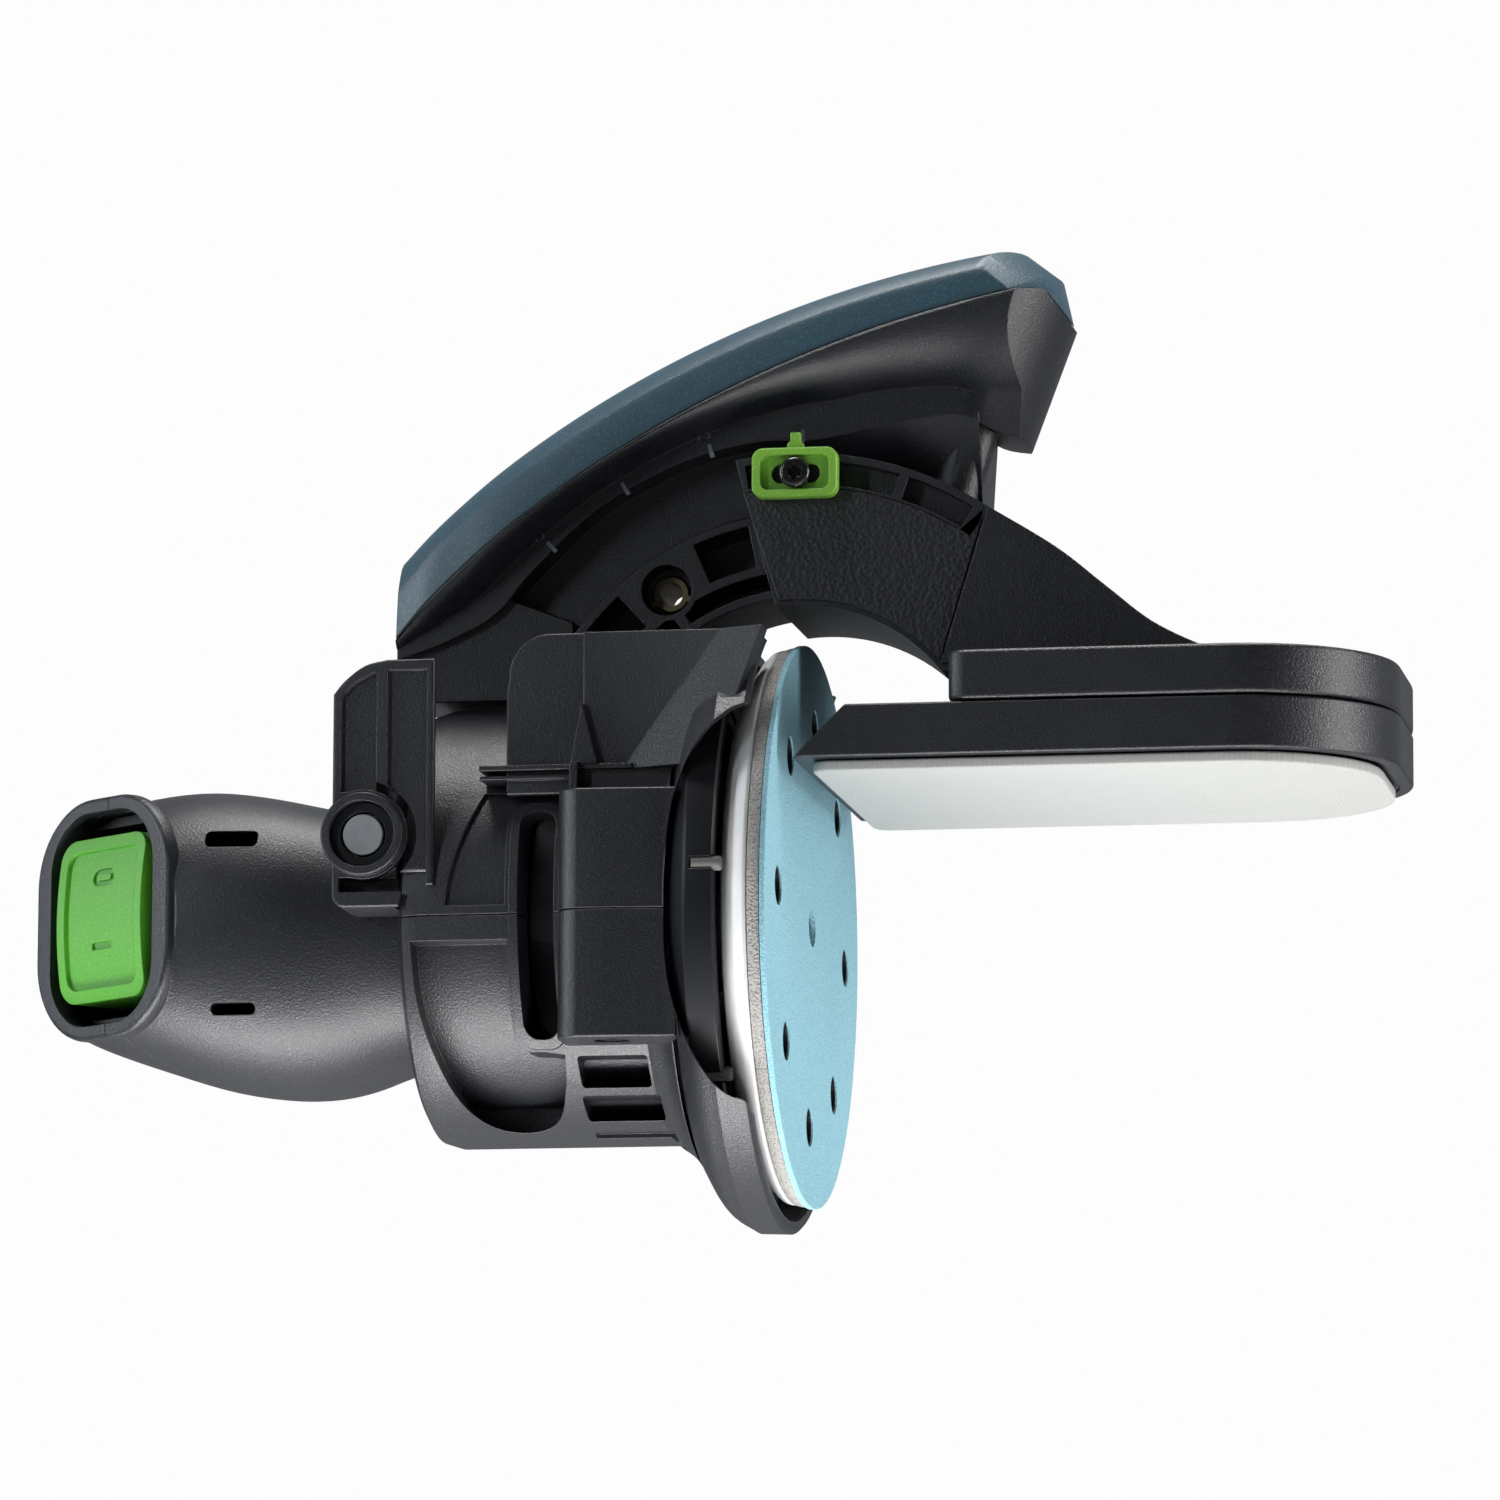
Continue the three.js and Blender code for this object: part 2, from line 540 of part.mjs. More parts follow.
function clampBlock(guide) {
  const [x0, x1] = BLOCK.x;
  const [z0, z1] = BLOCK.z;
  const [y0, y1] = BLOCK.y;
  const outline = [
    ...points([[x1, z0], [x0 + 3, z0]]),
    ...arc(3, 180, 270, 30, [x0 + 3, z0 + 3]),
    ...arc(10, -90, 0, 15, [x0 + 10, z1 - 10]),
    ...points([[x1, z1]]),
  ];
  const recess = (u0, u1, v0, v1) => plate("y", roundedRectangle([u0, u1], [v0, v1], 1.5), [y0 - 1, y0 + 1.2]);
  const boss = cylinder("y", BOSS.r, [y0 - 1.6, y1], [BOSS.x, BOSS.z], 24);
  const body = cut(
    join(cut(plate("y", outline, BLOCK.y, 0.8), recess(x0 + 2, x0 + 8.6, -3, z1 - 3.6),
      recess(x0 + 10.6, x1 - 1.4, -1, z1 - 2)), boss),
    cylinder("y", BOSS.bore, [y0 - 5, y1 + 5], [BOSS.x, BOSS.z], 24),
    cylinder("x", FRAME_R + GAP, [FRAME_X[0] - GAP, -60], [0, SPINDLE_Z], 48),
    box([FRAME_X[0] - GAP, -60], [-48.4, -30], [-30, 40]),
  );
  piece(guide, "clamp_block", body, "black");
  const tube = cut(
    cylinder("y", BOSS.bore - GAP, [y0 + 0.6, y1], [BOSS.x, BOSS.z], 20),
    cylinder("y", 5, [y0 - 1, y1 + 1], [BOSS.x, BOSS.z], 16),
  );
  piece(guide, "clamp_bush", tube, "blackSmooth");
  piece(guide, "clamp_pin", cylinder("y", 4.6, [y0 + 0.8, y1 + 1.5], [BOSS.x, BOSS.z], 16), "steel");
}

// ---- Arc rail, between the cheeks of the sector ----

function arcRail(guide) {
  const [r0, r1] = RAIL_R;
  const mid = 50.8;
  const boss = { r: 7, bore: 6 };
  const at = [-30.5, 46.2];
  const span = [-RAIL_DEPTH, RAIL_DEPTH];
  const pocket = (lo, hi, from, to) => [
    plate("y", ring([lo, hi], from, to, 7), [-RAIL_DEPTH - 1, -2]),
    plate("y", ring([lo, hi], from, to, 7), [2, RAIL_DEPTH + 1]),
  ];
  const pockets = [
    ...pocket(mid + RIB / 2, r1 - RIB, -64, -43),
    ...pocket(mid + RIB / 2, r1 - RIB, -24, -10),
    ...pocket(mid + RIB / 2, r1 - RIB, -7.5, 3),
    ...pocket(r0 + RIB, mid - RIB / 2, -58, -36),
    ...pocket(r0 + RIB, mid - RIB / 2, -33, 3),
  ];
  const body = cut(
    join(
      cut(plate("y", ring(RAIL_R, -66, 5.5, 5), span), ...pockets),
      cylinder("y", boss.r, span, at, 20).intersect(plate("y", ring(RAIL_R, -66, 5.5, 5), span)),
    ),
    cylinder("y", boss.bore, [-RAIL_DEPTH - 1, -8], at, 16),
    cylinder("y", 4.4, [-RAIL_DEPTH - 1, RAIL_DEPTH + 1], at, 16),
    box([-90, 20], [-30, 30], [-10, 22.4]),
  );
  piece(guide, "arc_rail", body, "black");
  const insert = cut(cylinder("y", 4, [-7.5, 9], at, 16), cylinder("y", 2.6, [-9, 11], at, 10));
  piece(guide, "rail_insert", insert, "brass");
}

// ---- Palm handle: a black base and a petrol cap over it ----

const capTop = circleHeight([-90, 53.5], [-17, 102.4], [51, 121.8]);
const partingLine = circleHeight([-90, 38], [-12, 91], [54, 111]);

// Stations of the base: lower edge x and z, parting x, straight height above the edge, half width.
const atEdge = (deg) => [HANDLE_EDGE_R * Math.sin(radians(deg)), HANDLE_EDGE_R * Math.cos(radians(deg))];
const BASE_STATIONS = [
  [-91.5, 32, -91.5, 3, 17],
  [-80, 36, -84, 7, 21],
  [-69, 42, -76, 8, 23],
  [...atEdge(-50), -68, 9, 24.5],
  [...atEdge(-35), -52, 9, 25],
  [...atEdge(-20), -33, 9, 25],
  [...atEdge(-5), -11, 9, 25],
  [...atEdge(10), 11, 10, 25],
  [...atEdge(22), 29, 12, 25],
  [...atEdge(31), 41, 19, 24.5],
  [47, 76, 49, 14, 24],
  [53, 80, 55, 12, 22],
  [58, 87.5, 59, 9, 19],
  [61.2, 97, 61.3, 3, 16],
];
const EDGE_HALF_WIDTH = 15;

const partingZ = (x) => Math.min(partingLine(x), 104 + (61.3 - x) * 2.2);

const HANDLE_SCREWS = [[-78, 10, 31], [-6, 12, 85.5], [42, 12, 91]];

function handleBase(guide) {
  const rings = BASE_STATIONS.map(([ex, ez, px, straight, half]) => {
    const top = partingZ(px) - GAP / 2;
    const level = (t, y) => [mix(ex, px, t), y, mix(ez, top, t)];
    const s = Math.min(straight / Math.hypot(px - ex, top - ez), 0.8);
    const edge = Math.min(EDGE_HALF_WIDTH, half - 1);
    return mirrored([level(0, edge), level(s, edge), level(mix(s, 1, 0.55), half - 1.5), level(1, half)]);
  });
  const web = cut(
    plate("y", ring([RAIL_R[1] + GAP, HANDLE_EDGE_R + 4], -64, 6.5, 5), [-6, 6]),
    plate("y", [...arc(STUD_R + 2.9, -49, 4.5, 5), ...arc(STUD_R - 2.9, 4.5, -49, 5)], [1.5, 7]),
    plate("y", ring([STUD_R - 4.7, STUD_R + 4.7], -51, 8, 5), [-STUD_HEAD_Y, 2]),
  );
  const neck = cut(
    plate("y", points([[-91.5, 24], [-84, 22.4], [-50, 22.4], [-52, 40], [-68, 46], [-91.5, 36]]), [-13, 13]),
    cylinder("y", RAIL_R[1] + GAP, [-20, 20], [0, 0], 120),
  );
  const body = cut(join(loft(rings), web, neck), ...HANDLE_SCREWS.map((at) => screwHole(at, [0, 1, 0], 15)));
  piece(guide, "handle_base", body, "black");
  HANDLE_SCREWS.forEach((at, i) => screw(guide, `handle_screw_${i + 1}`, at, [0, 1, 0], 14));
}

// The near half of a section followed by its mirror image across y = 0.
const mirrored = (half) => [...half, ...half.toReversed().map(([x, y, z]) => [x, -y, z])];

// How far the cap's top leans over at its blunt end, by the x of the parting line.
const capLean = (x) => (x > 48 ? (x - 48) * 0.38 : -0.5);

function handleCap(guide) {
  const crown = [[0, 1], [0.35, 0.985], [0.7, 0.78], [0.92, 0.45], [1, 0.14]];
  const rings = BASE_STATIONS.map(([, , px, , half]) => {
    const tx = px - capLean(px);
    const [low, high] = [partingZ(px) + GAP / 2, Math.min(capTop(Math.min(tx, 55)), 122)];
    return mirrored(crown.map(([t, w]) => [mix(px, tx, t), half * w, mix(low, high, t)]));
  });
  piece(guide, "handle_cap", loft(rings), "petrol");
}

// ---- Ports on the far side ----

function ports(guide) {
  const { x, r, bore, y } = DUST_PORT;
  const tube = cut(
    join(
      cylinder("y", r, [y[0], y[1] - 26], [x, SPINDLE_Z], 20),
      cylinder("y", r, [y[1] - 26, y[1]], [x, SPINDLE_Z], 20, r - 1),
      cylinder("y", r + 1, [y[1] - 4, y[1]], [x, SPINDLE_Z], 20),
    ),
    cylinder("y", bore, [y[0] - 1, y[1] + 1], [x, SPINDLE_Z], 20),
  );
  piece(guide, "dust_port", tube, "black");
  const inlet = cut(
    cylinder("y", INLET.r, INLET.y, [INLET.x, INLET.z], 20),
    cylinder("y", INLET.bore, [INLET.y[1] - 20, INLET.y[1] + 1], [INLET.x, INLET.z], 20),
  );
  piece(guide, "cord_inlet", inlet, "blackSmooth");
}

// ---- Shoe: sector arm, two plates, felt pad and the clamp ----

function sectorOutline() {
  const concave = new THREE.SplineCurve(points([[42, 62.2], [57.5, 52.5], [68.5, 43.6], [79, 35.2], [90.5, 29.4],
    [99, 26.6]]));
  return [
    ...points([[-13.9, 73.7]]),
    ...arc(SECTOR_R[1], -9, 34, 5),
    ...concave.getPoints(8).slice(1),
    ...points([[99, UPPER_Z[1] + GAP], [44, UPPER_Z[1] + GAP], [40, 27.5], [37, 26.6]]),
    ...arc(SECTOR_R[0], 52.5, -6.8, 5),
  ];
}

const SHOE_SCREWS = [[52, 34], [52, -34], [104, 34], [104, -34]];

function sectorArm(shoe) {
  const [near, far] = SECTOR_Y;
  const outline = sectorOutline();
  const cheeks = [[-far, -near], [near, far]].map((span) => plate("y", outline, span));
  const web = plate("y", ring([SECTOR_R[0], SECTOR_R[0] + SECTOR_INNER_WEB], -6.8, 53.5, 5), [-near - 1, near + 1]);
  const core = plate("y", outline, [-near - 1, near + 1])
    .intersect(plate("y", ring([SECTOR_R[0], SECTOR_R[1] - 0.4], 53, 90, 4), [-near - 1, near + 1]));
  const windows = [[-9.3, -6.5], [7.5, 15.5], [17.5, 33]].map(([from, to]) =>
    plate("y", ring([68.2, 73.2], from, to, 5), [-far - 1, -far + 4]));
  const body = cut(
    join(...cheeks, web, core),
    ...windows,
    cylinder("y", 2.1, [-far - 1, -near + 1], [0, STUD_R], 12),
    cylinder("y", 2.9, [near - 1, far + 1], [0, STUD_R], 12),
  );
  piece(shoe, "sector_arm", body, "black");
}

// Plan outline of a plate with its two far corners rounded.
const shoePlan = (x0, inset, near = 3) => {
  const [end, half, r] = [SHOE_END_X - inset, SHOE_HALF_Y - inset, SHOE_CORNER_R - inset];
  return [
    ...arc(near, -90, 0, 30, [x0 + near, half - near]),
    ...arc(r, 0, 90, 15, [end - r, half - r]),
    ...arc(r, 90, 180, 15, [end - r, r - half]),
    ...arc(near, 180, 270, 30, [x0 + near, near - half]),
  ];
};

function shoePlates(shoe) {
  const channel = box([73.8, 116], [-SECTOR_Y[0], SECTOR_Y[0]], [18, 30]);
  const holes = SHOE_SCREWS.map(([x, y]) => screwHole([x, y, 21], [0, 0, 1], 12));
  const upper = cut(plate("z", shoePlan(UPPER_X, 0, 4), UPPER_Z, 0.8), channel, ...holes);
  piece(shoe, "shoe_upper", upper, "black");
  // The nose is bevelled at 45 degrees so that it turns past the abrasive at the steepest setting.
  const noseSide = points([[3.4, 2.7], [15.1, 14.4], [-20, 14.4], [-20, 2.7]]);
  const recess = plate("z", roundedRectangle([46, 124], [-38, 38], 12, 20), [LOWER_Z[0] + 3, LOWER_Z[1] + 1]);
  const lower = cut(
    plate("z", shoePlan(2, 0), LOWER_Z, 0.6),
    plate("y", noseSide, [-60, 60]),
    cut(recess, ...SHOE_SCREWS.map(([x, y]) => cylinder("z", 5, [0, 20], [x, y], 16))),
    ...holes,
  );
  piece(shoe, "shoe_lower", lower, "black");
  SHOE_SCREWS.forEach(([x, y], i) => screw(shoe, `shoe_screw_${i + 1}`, [x, y, 21], [0, 0, 1], 11));
  const [x0, x1] = FELT.x;
  const feltPlan = [
    ...arc(4, -90, 0, 30, [x0 + 4, FELT.halfY - 4]),
    ...arc(32, 0, 90, 15, [x1 - 32, FELT.halfY - 32]),
    ...arc(32, 90, 180, 15, [x1 - 32, 32 - FELT.halfY]),
    ...arc(4, 180, 270, 30, [x0 + 4, 4 - FELT.halfY]),
  ];
  piece(shoe, "slide_pad", plate("z", feltPlan, [0, FELT.thick]), "felt");
}

function clamp(shoe, knob) {
  const far = SECTOR_Y[1];
  piece(shoe, "clamp_stud", join(
    cylinder("y", 4.2, [0.4 - STUD_HEAD_Y, 1.5], [0, STUD_R], 16),
    cylinder("y", 2.5, [1, far + 14], [0, STUD_R], 16),
  ), "steel");
  const lobes = 5;
  let body = cylinder("y", 11.2, [0, 14], [0, 0], 20, 9.6);
  for (let i = 0; i < lobes; i += 1) {
    const a = (2 * Math.PI * i) / lobes;
    body = body.add(cylinder("y", 4.2, [1.5, 14], [9 * Math.cos(a), 9 * Math.sin(a)], 8, 3.4));
  }
  piece(knob, "clamp_knob", cut(body, cylinder("y", 2.9, [-1, 15], [0, 0], 16)), "black");
}

function anglePointer(shoe, pointer) {
  const face = -SECTOR_Y[1] - GAP;
  const frame = plate("y", roundedRectangle([-9.6, 9.6], [-5.6, 5.6], 2.6), [face - 3.6, face]);
  const nub = plate("y", points([[-1.7, 4], [1.7, 4], [1.1, 9.2], [-1.1, 9.2]]), [face - 1.6, face]);
  const body = cut(
    join(frame, nub),
    plate("y", roundedRectangle([-7.6, 7.6], [-3.9, 3.9], 1.8), [face - 6, face - 1.6]),
    plate("y", roundedRectangle([-5.4, 5.4], [-2.2, 2.2], 2.1), [face - 6, face + 1]),
  );
  piece(pointer, "angle_pointer", body, "pointerGreen");
  const head = join(
    cylinder("y", 3.5, [face - 4.1, face - 1.9], [0, STUD_R], 20),
    cylinder("y", 1.7, [face - 2, -SECTOR_Y[0] - 3.2], [0, STUD_R], 12),
  );
  piece(shoe, "pointer_screw", cut(head, cylinder("y", 1.5, [face - 5, face - 3], [0, STUD_R], 6)), "darkSteel");
}

// ---- The assembly ----

function build() {
  const root = new THREE.Group();
  const sander = group(root, -ORIGIN_X, 0, 0);
  const guide = group(sander);
  const spindle = group(sander, 0, 0, SPINDLE_Z);
  const pad = group(spindle, 0, 0, -STROKE / 2);
  const shoe = group(sander);
  const knob = group(shoe, 0, SECTOR_Y[1] + 0.6, STUD_R);
  const pointer = group(shoe, 0, 0, STUD_R);

  gripShells(guide);
  switchUnit(guide);
  motor(guide, spindle);
  fan(spindle);
  eccentric(spindle);
  fanHousing(guide);
  brakeRing(guide);
  orbitingPad(pad);
  guideFrame(guide);
  clampBlock(guide);
  arcRail(guide);
  handleBase(guide);
  handleCap(guide);
  ports(guide);
  sectorArm(shoe);
  shoePlates(shoe);
  clamp(shoe, knob);
  anglePointer(shoe, pointer);
  return root;
}

export default build();
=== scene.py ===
"""Edge sander: a random-orbit sander in an angle guide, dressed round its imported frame."""

import json
import logging
import math
from collections.abc import Callable, Iterable, Sequence
from dataclasses import dataclass, field
from enum import Enum

import bmesh
import bpy
from mathutils import Matrix, Vector

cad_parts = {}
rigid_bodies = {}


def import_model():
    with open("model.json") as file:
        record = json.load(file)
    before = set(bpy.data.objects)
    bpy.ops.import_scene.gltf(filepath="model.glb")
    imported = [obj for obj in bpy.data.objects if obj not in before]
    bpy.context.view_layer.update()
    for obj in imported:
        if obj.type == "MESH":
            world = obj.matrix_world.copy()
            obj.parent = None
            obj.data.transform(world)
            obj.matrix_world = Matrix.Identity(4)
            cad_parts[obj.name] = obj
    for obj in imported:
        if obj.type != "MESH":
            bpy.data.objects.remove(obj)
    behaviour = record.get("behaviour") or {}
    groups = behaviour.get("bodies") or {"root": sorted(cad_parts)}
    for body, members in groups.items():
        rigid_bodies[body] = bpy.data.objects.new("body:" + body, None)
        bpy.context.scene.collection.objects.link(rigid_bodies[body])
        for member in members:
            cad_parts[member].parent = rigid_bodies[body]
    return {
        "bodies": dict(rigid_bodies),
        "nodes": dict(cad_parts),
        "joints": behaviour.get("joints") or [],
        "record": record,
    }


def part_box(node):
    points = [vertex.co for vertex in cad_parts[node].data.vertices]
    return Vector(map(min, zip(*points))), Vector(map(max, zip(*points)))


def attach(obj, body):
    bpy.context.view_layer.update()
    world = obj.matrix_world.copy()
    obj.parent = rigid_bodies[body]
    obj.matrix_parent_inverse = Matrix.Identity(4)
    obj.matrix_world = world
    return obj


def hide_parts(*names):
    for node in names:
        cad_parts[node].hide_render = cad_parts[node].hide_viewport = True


LOG = logging.getLogger("edge_sander")
MM = 0.001
FULL_TURN = 2 * math.pi
SCREW_HEAD_R = 3.9  # recess round a screw's head, in millimetres
SCREW_BORE_R = 1.9

Point = tuple[float, float]
Span = tuple[float, float]
Triple = tuple[float, float, float]


class Axis(Enum):
    """The direction a shape is extruded or turned along."""

    X = (1, 0, 0)
    Y = (0, 1, 0)
    Z = (0, 0, 1)

    def place(self, u: float, v: float, w: float) -> Triple:
        """Puts an outline's two coordinates and a height along this axis into x, y, z order."""
        return {Axis.X: (w, u, v), Axis.Y: (u, w, v), Axis.Z: (u, v, w)}[self]


class Body(Enum):
    """The bodies of the frame: the guide is the base and the others move on it."""

    GUIDE = "guide"
    SWITCH = "switch"
    SPINDLE = "spindle"
    PAD = "pad"
    SHOE = "shoe"
    KNOB = "knob"
    POINTER = "pointer"


# ---- Outlines, in millimetres ----


def mix(a: float, b: float, t: float) -> float:
    """The number a share t of the way from a to b."""
    return a + (b - a) * t


def toned(colour: Triple, share: float) -> Triple:
    """A colour made darker or lighter by a factor, up to full."""
    return tuple(min(c * share, 1.0) for c in colour)


def arc(r: float, start: float, end: float, step: float = 3.0, centre: Point = (0.0, 0.0)) -> list[Point]:
    """Points of an arc whose angles run clockwise from straight up, in degrees."""
    count = max(1, math.ceil(abs(end - start) / step))
    angles = [math.radians(mix(start, end, i / count)) for i in range(count + 1)]
    return [(centre[0] + r * math.sin(a), centre[1] + r * math.cos(a)) for a in angles]


def sector(radii: Span, start: float, end: float, step: float = 2.5) -> list[Point]:
    """Outline of a stretch of a flat ring about the pivot."""
    return arc(radii[1], start, end, step) + arc(radii[0], end, start, step)


def rounded(u: Span, v: Span, r: float, step: float = 15.0) -> list[Point]:
    """Outline of a rectangle with round corners."""
    return (
        arc(r, -90, 0, step, (u[0] + r, v[1] - r))
        + arc(r, 0, 90, step, (u[1] - r, v[1] - r))
        + arc(r, 90, 180, step, (u[1] - r, v[0] + r))
        + arc(r, 180, 270, step, (u[0] + r, v[0] + r))
    )


def smooth(stations: Sequence[Sequence[float]], steps: int = 5) -> list[tuple[float, ...]]:
    """A smooth curve through rows of numbers, with a few steps between each pair of rows."""
    rows = [Vector(row) for row in stations]
    rows = [rows[0] * 2 - rows[1], *rows, rows[-1] * 2 - rows[-2]]
    curve: list[tuple[float, ...]] = []
    for a, b, c, d in zip(rows, rows[1:], rows[2:], rows[3:]):
        for i in range(steps):
            t = i / steps
            tangents = (c - a) * (t - 2 * t * t + t**3) + (d - b) * (t**3 - t * t)
            curve.append(tuple(b * (1 - 3 * t * t + 2 * t**3) + c * (3 * t * t - 2 * t**3) + tangents * 0.5))
    return curve + [tuple(rows[-2])]


def circle_height(a: Point, b: Point, c: Point) -> Callable[[float], float]:
    """The height at x of the upper side of the circle through three points."""
    d = 2 * (a[0] * (b[1] - c[1]) + b[0] * (c[1] - a[1]) + c[0] * (a[1] - b[1]))
    squares = [p[0] ** 2 + p[1] ** 2 for p in (a, b, c)]
    cx = (squares[0] * (b[1] - c[1]) + squares[1] * (c[1] - a[1]) + squares[2] * (a[1] - b[1])) / d
    cz = (squares[0] * (c[0] - b[0]) + squares[1] * (a[0] - c[0]) + squares[2] * (b[0] - a[0])) / d
    r = math.hypot(a[0] - cx, a[1] - cz)
    return lambda x: cz + math.sqrt(r * r - (x - cx) ** 2)


# ---- Shapes: closed bodies under construction, in millimetres about the pivot ----


class Shape:
    """A closed body held in a bmesh, in millimetres about the angle guide's pivot."""

    def __init__(self) -> None:
        """Starts empty."""
        self.bm = bmesh.new()

    @classmethod
    def prism(cls, outline: Iterable[Sequence[float]], axis: Axis, span: Span, rim: float = 0.0) -> "Shape":
        """Extrudes an outline along an axis.

        Args:
            outline: Its corners in the two other axes.
            axis: The direction of the extrusion.
            span: Where it starts and ends on that axis.
            rim: Width of the rounding of both rims.

        Returns:
            The closed shape.
        """
        shape = cls()
        corners = [shape.bm.verts.new(axis.place(u, v, span[0])) for u, v in outline]
        shape.bm.faces.new(corners)
        bmesh.ops.remove_doubles(shape.bm, verts=shape.bm.verts, dist=0.005)
        grown = bmesh.ops.extrude_face_region(shape.bm, geom=shape.bm.faces[:], use_keep_orig=True)
        raised = [item for item in grown["geom"] if isinstance(item, bmesh.types.BMVert)]
        bmesh.ops.translate(shape.bm, verts=raised, vec=Vector(axis.value) * (span[1] - span[0]))
        shape.outward()
        if rim:
            flat = [f for f in shape.bm.faces if abs(f.normal.dot(Vector(axis.value))) > 0.99]
            shape.bevel({edge for face in flat for edge in face.edges}, rim)
        return shape

    @classmethod
    def turned(cls, profile: Iterable[Sequence[float]], z: float = 0.0, steps: int = 96) -> "Shape":
        """Spins a closed profile of (x, radius) about an axis along x at height z."""
        shape = cls()
        corners = [shape.bm.verts.new((x, 0.0, z + max(r, 0.0))) for x, r in profile]
        edges = [shape.bm.edges.new(pair) for pair in zip(corners, corners[1:] + corners[:1])]
        bmesh.ops.spin(
            shape.bm, geom=corners + edges, cent=(0, 0, z), axis=(1, 0, 0), angle=FULL_TURN, steps=steps,
            use_merge=True,
        )
        bmesh.ops.remove_doubles(shape.bm, verts=shape.bm.verts, dist=0.003)
        shape.outward()
        return shape

    @classmethod
    def rod(
        cls, axis: Axis, r: float, span: Span, at: Point, steps: int = 48, r_end: float | None = None,
    ) -> "Shape":
        """A cylinder or cone along an axis, at the other two coordinates in x, y, z order."""
        shape = cls()
        end = r if r_end is None else r_end
        bmesh.ops.create_cone(
            shape.bm, cap_ends=True, segments=steps, radius1=r, radius2=end, depth=span[1] - span[0],
        )
        turn = Vector((0, 0, 1)).rotation_difference(Vector(axis.value)).to_matrix().to_4x4()
        middle = Matrix.Translation(axis.place(at[0], at[1], (span[0] + span[1]) / 2))
        bmesh.ops.transform(shape.bm, matrix=middle @ turn, verts=shape.bm.verts)
        return shape

    @classmethod
    def block(cls, x: Span, y: Span, z: Span) -> "Shape":
        """A plain box between three pairs of planes."""
        shape = cls()
        bmesh.ops.create_cube(shape.bm, size=1.0)
        spans = (x, y, z)
        bmesh.ops.scale(shape.bm, vec=[s[1] - s[0] for s in spans], verts=shape.bm.verts)
        bmesh.ops.translate(shape.bm, vec=[(s[0] + s[1]) / 2 for s in spans], verts=shape.bm.verts)
        return shape

    @classmethod
    def loft(cls, rings: Sequence[Sequence[Sequence[float]]]) -> "Shape":
        """Bridges rings of equal length and closes both ends."""
        shape = cls()
        loops = []
        for ring in rings:
            corners = [shape.bm.verts.new(p) for p in ring]
            loops.append([shape.bm.edges.new(pair) for pair in zip(corners, corners[1:] + corners[:1])])
            if ring in (rings[0], rings[-1]):
                shape.bm.faces.new(corners)
        for near, far in zip(loops, loops[1:]):
            bmesh.ops.bridge_loops(shape.bm, edges=near + far)
        shape.outward()
        return shape

    @classmethod
    def lettering(cls, text: str, size: float, depth: float) -> "Shape":
        """Flat characters centred on the origin, facing -y and cut to a depth either side of y = 0."""
        curve = bpy.data.curves.new("lettering", "FONT")
        curve.body, curve.size, curve.extrude = text, size, depth
        curve.align_x, curve.align_y = "CENTER", "CENTER"
        curve.resolution_u = 3
        holder = bpy.data.objects.new("lettering", curve)
        bpy.context.scene.collection.objects.link(holder)
        mesh = bpy.data.meshes.new_from_object(holder.evaluated_get(bpy.context.evaluated_depsgraph_get()))
        shape = cls()
        shape.bm.from_mesh(mesh)
        bmesh.ops.remove_doubles(shape.bm, verts=shape.bm.verts, dist=0.002)
        bpy.data.objects.remove(holder)
        bpy.data.meshes.remove(mesh)
        return shape.moved(Matrix.Rotation(math.pi / 2, 4, "X")).outward()

    def outward(self) -> "Shape":
        """Turns every face to look out of the body."""
        bmesh.ops.recalc_face_normals(self.bm, faces=self.bm.faces)
        return self

    def bevel(self, edges: Iterable[bmesh.types.BMEdge], width: float, segments: int = 3) -> "Shape":
        """Rounds some edges."""
        bmesh.ops.bevel(
            self.bm, geom=list(edges), offset=width, segments=segments, profile=0.5, affect="EDGES",
            material=-1, clamp_overlap=True,
        )
        return self

    def moved(self, matrix: Matrix) -> "Shape":
        """Moves the whole body."""
        bmesh.ops.transform(self.bm, matrix=matrix, verts=self.bm.verts)
        return self

    def shifted(self, x: float, y: float, z: float) -> "Shape":
        """Slides the whole body."""
        return self.moved(Matrix.Translation((x, y, z)))

    def copied(self) -> "Shape":
        """A second body like this one."""
        shape = Shape()
        shape.bm = self.bm.copy()
        return shape

    def softened(self, levels: int = 2) -> "Shape":
        """Subdivides the body into a smooth surface."""
        return self._through("SUBSURF", {"levels": levels, "render_levels": levels})

    def minus(self, *tools: "Shape") -> "Shape":
        """Cuts other bodies away."""
        return self._combined("DIFFERENCE", tools)

    def plus(self, *others: "Shape") -> "Shape":
        """Joins other bodies on."""
        return self._combined("UNION", others)

    def common(self, *others: "Shape") -> "Shape":
        """Keeps what lies inside the other bodies too."""
        return self._combined("INTERSECT", others)

    def sliced(self, point: Vector, normal: Vector) -> "Shape":
        """Cuts off what lies on the normal's side of a plane and closes the cut."""
        cut = bmesh.ops.bisect_plane(
            self.bm, geom=self.bm.verts[:] + self.bm.edges[:] + self.bm.faces[:], dist=0.001, plane_co=point,
            plane_no=normal, clear_outer=True,
        )
        border = [item for item in cut["geom_cut"] if isinstance(item, bmesh.types.BMEdge)]
        bmesh.ops.edgeloop_fill(self.bm, edges=border)
        return self.outward()

    def _combined(self, operation: str, others: Sequence["Shape"]) -> "Shape":
        """Runs one boolean for each of the other bodies."""
        whole = self
        for other in others:
            tool = other.as_object("tool")
            whole = whole._through("BOOLEAN", {"operation": operation, "object": tool, "solver": "EXACT"})
            bpy.data.objects.remove(tool)
        return whole

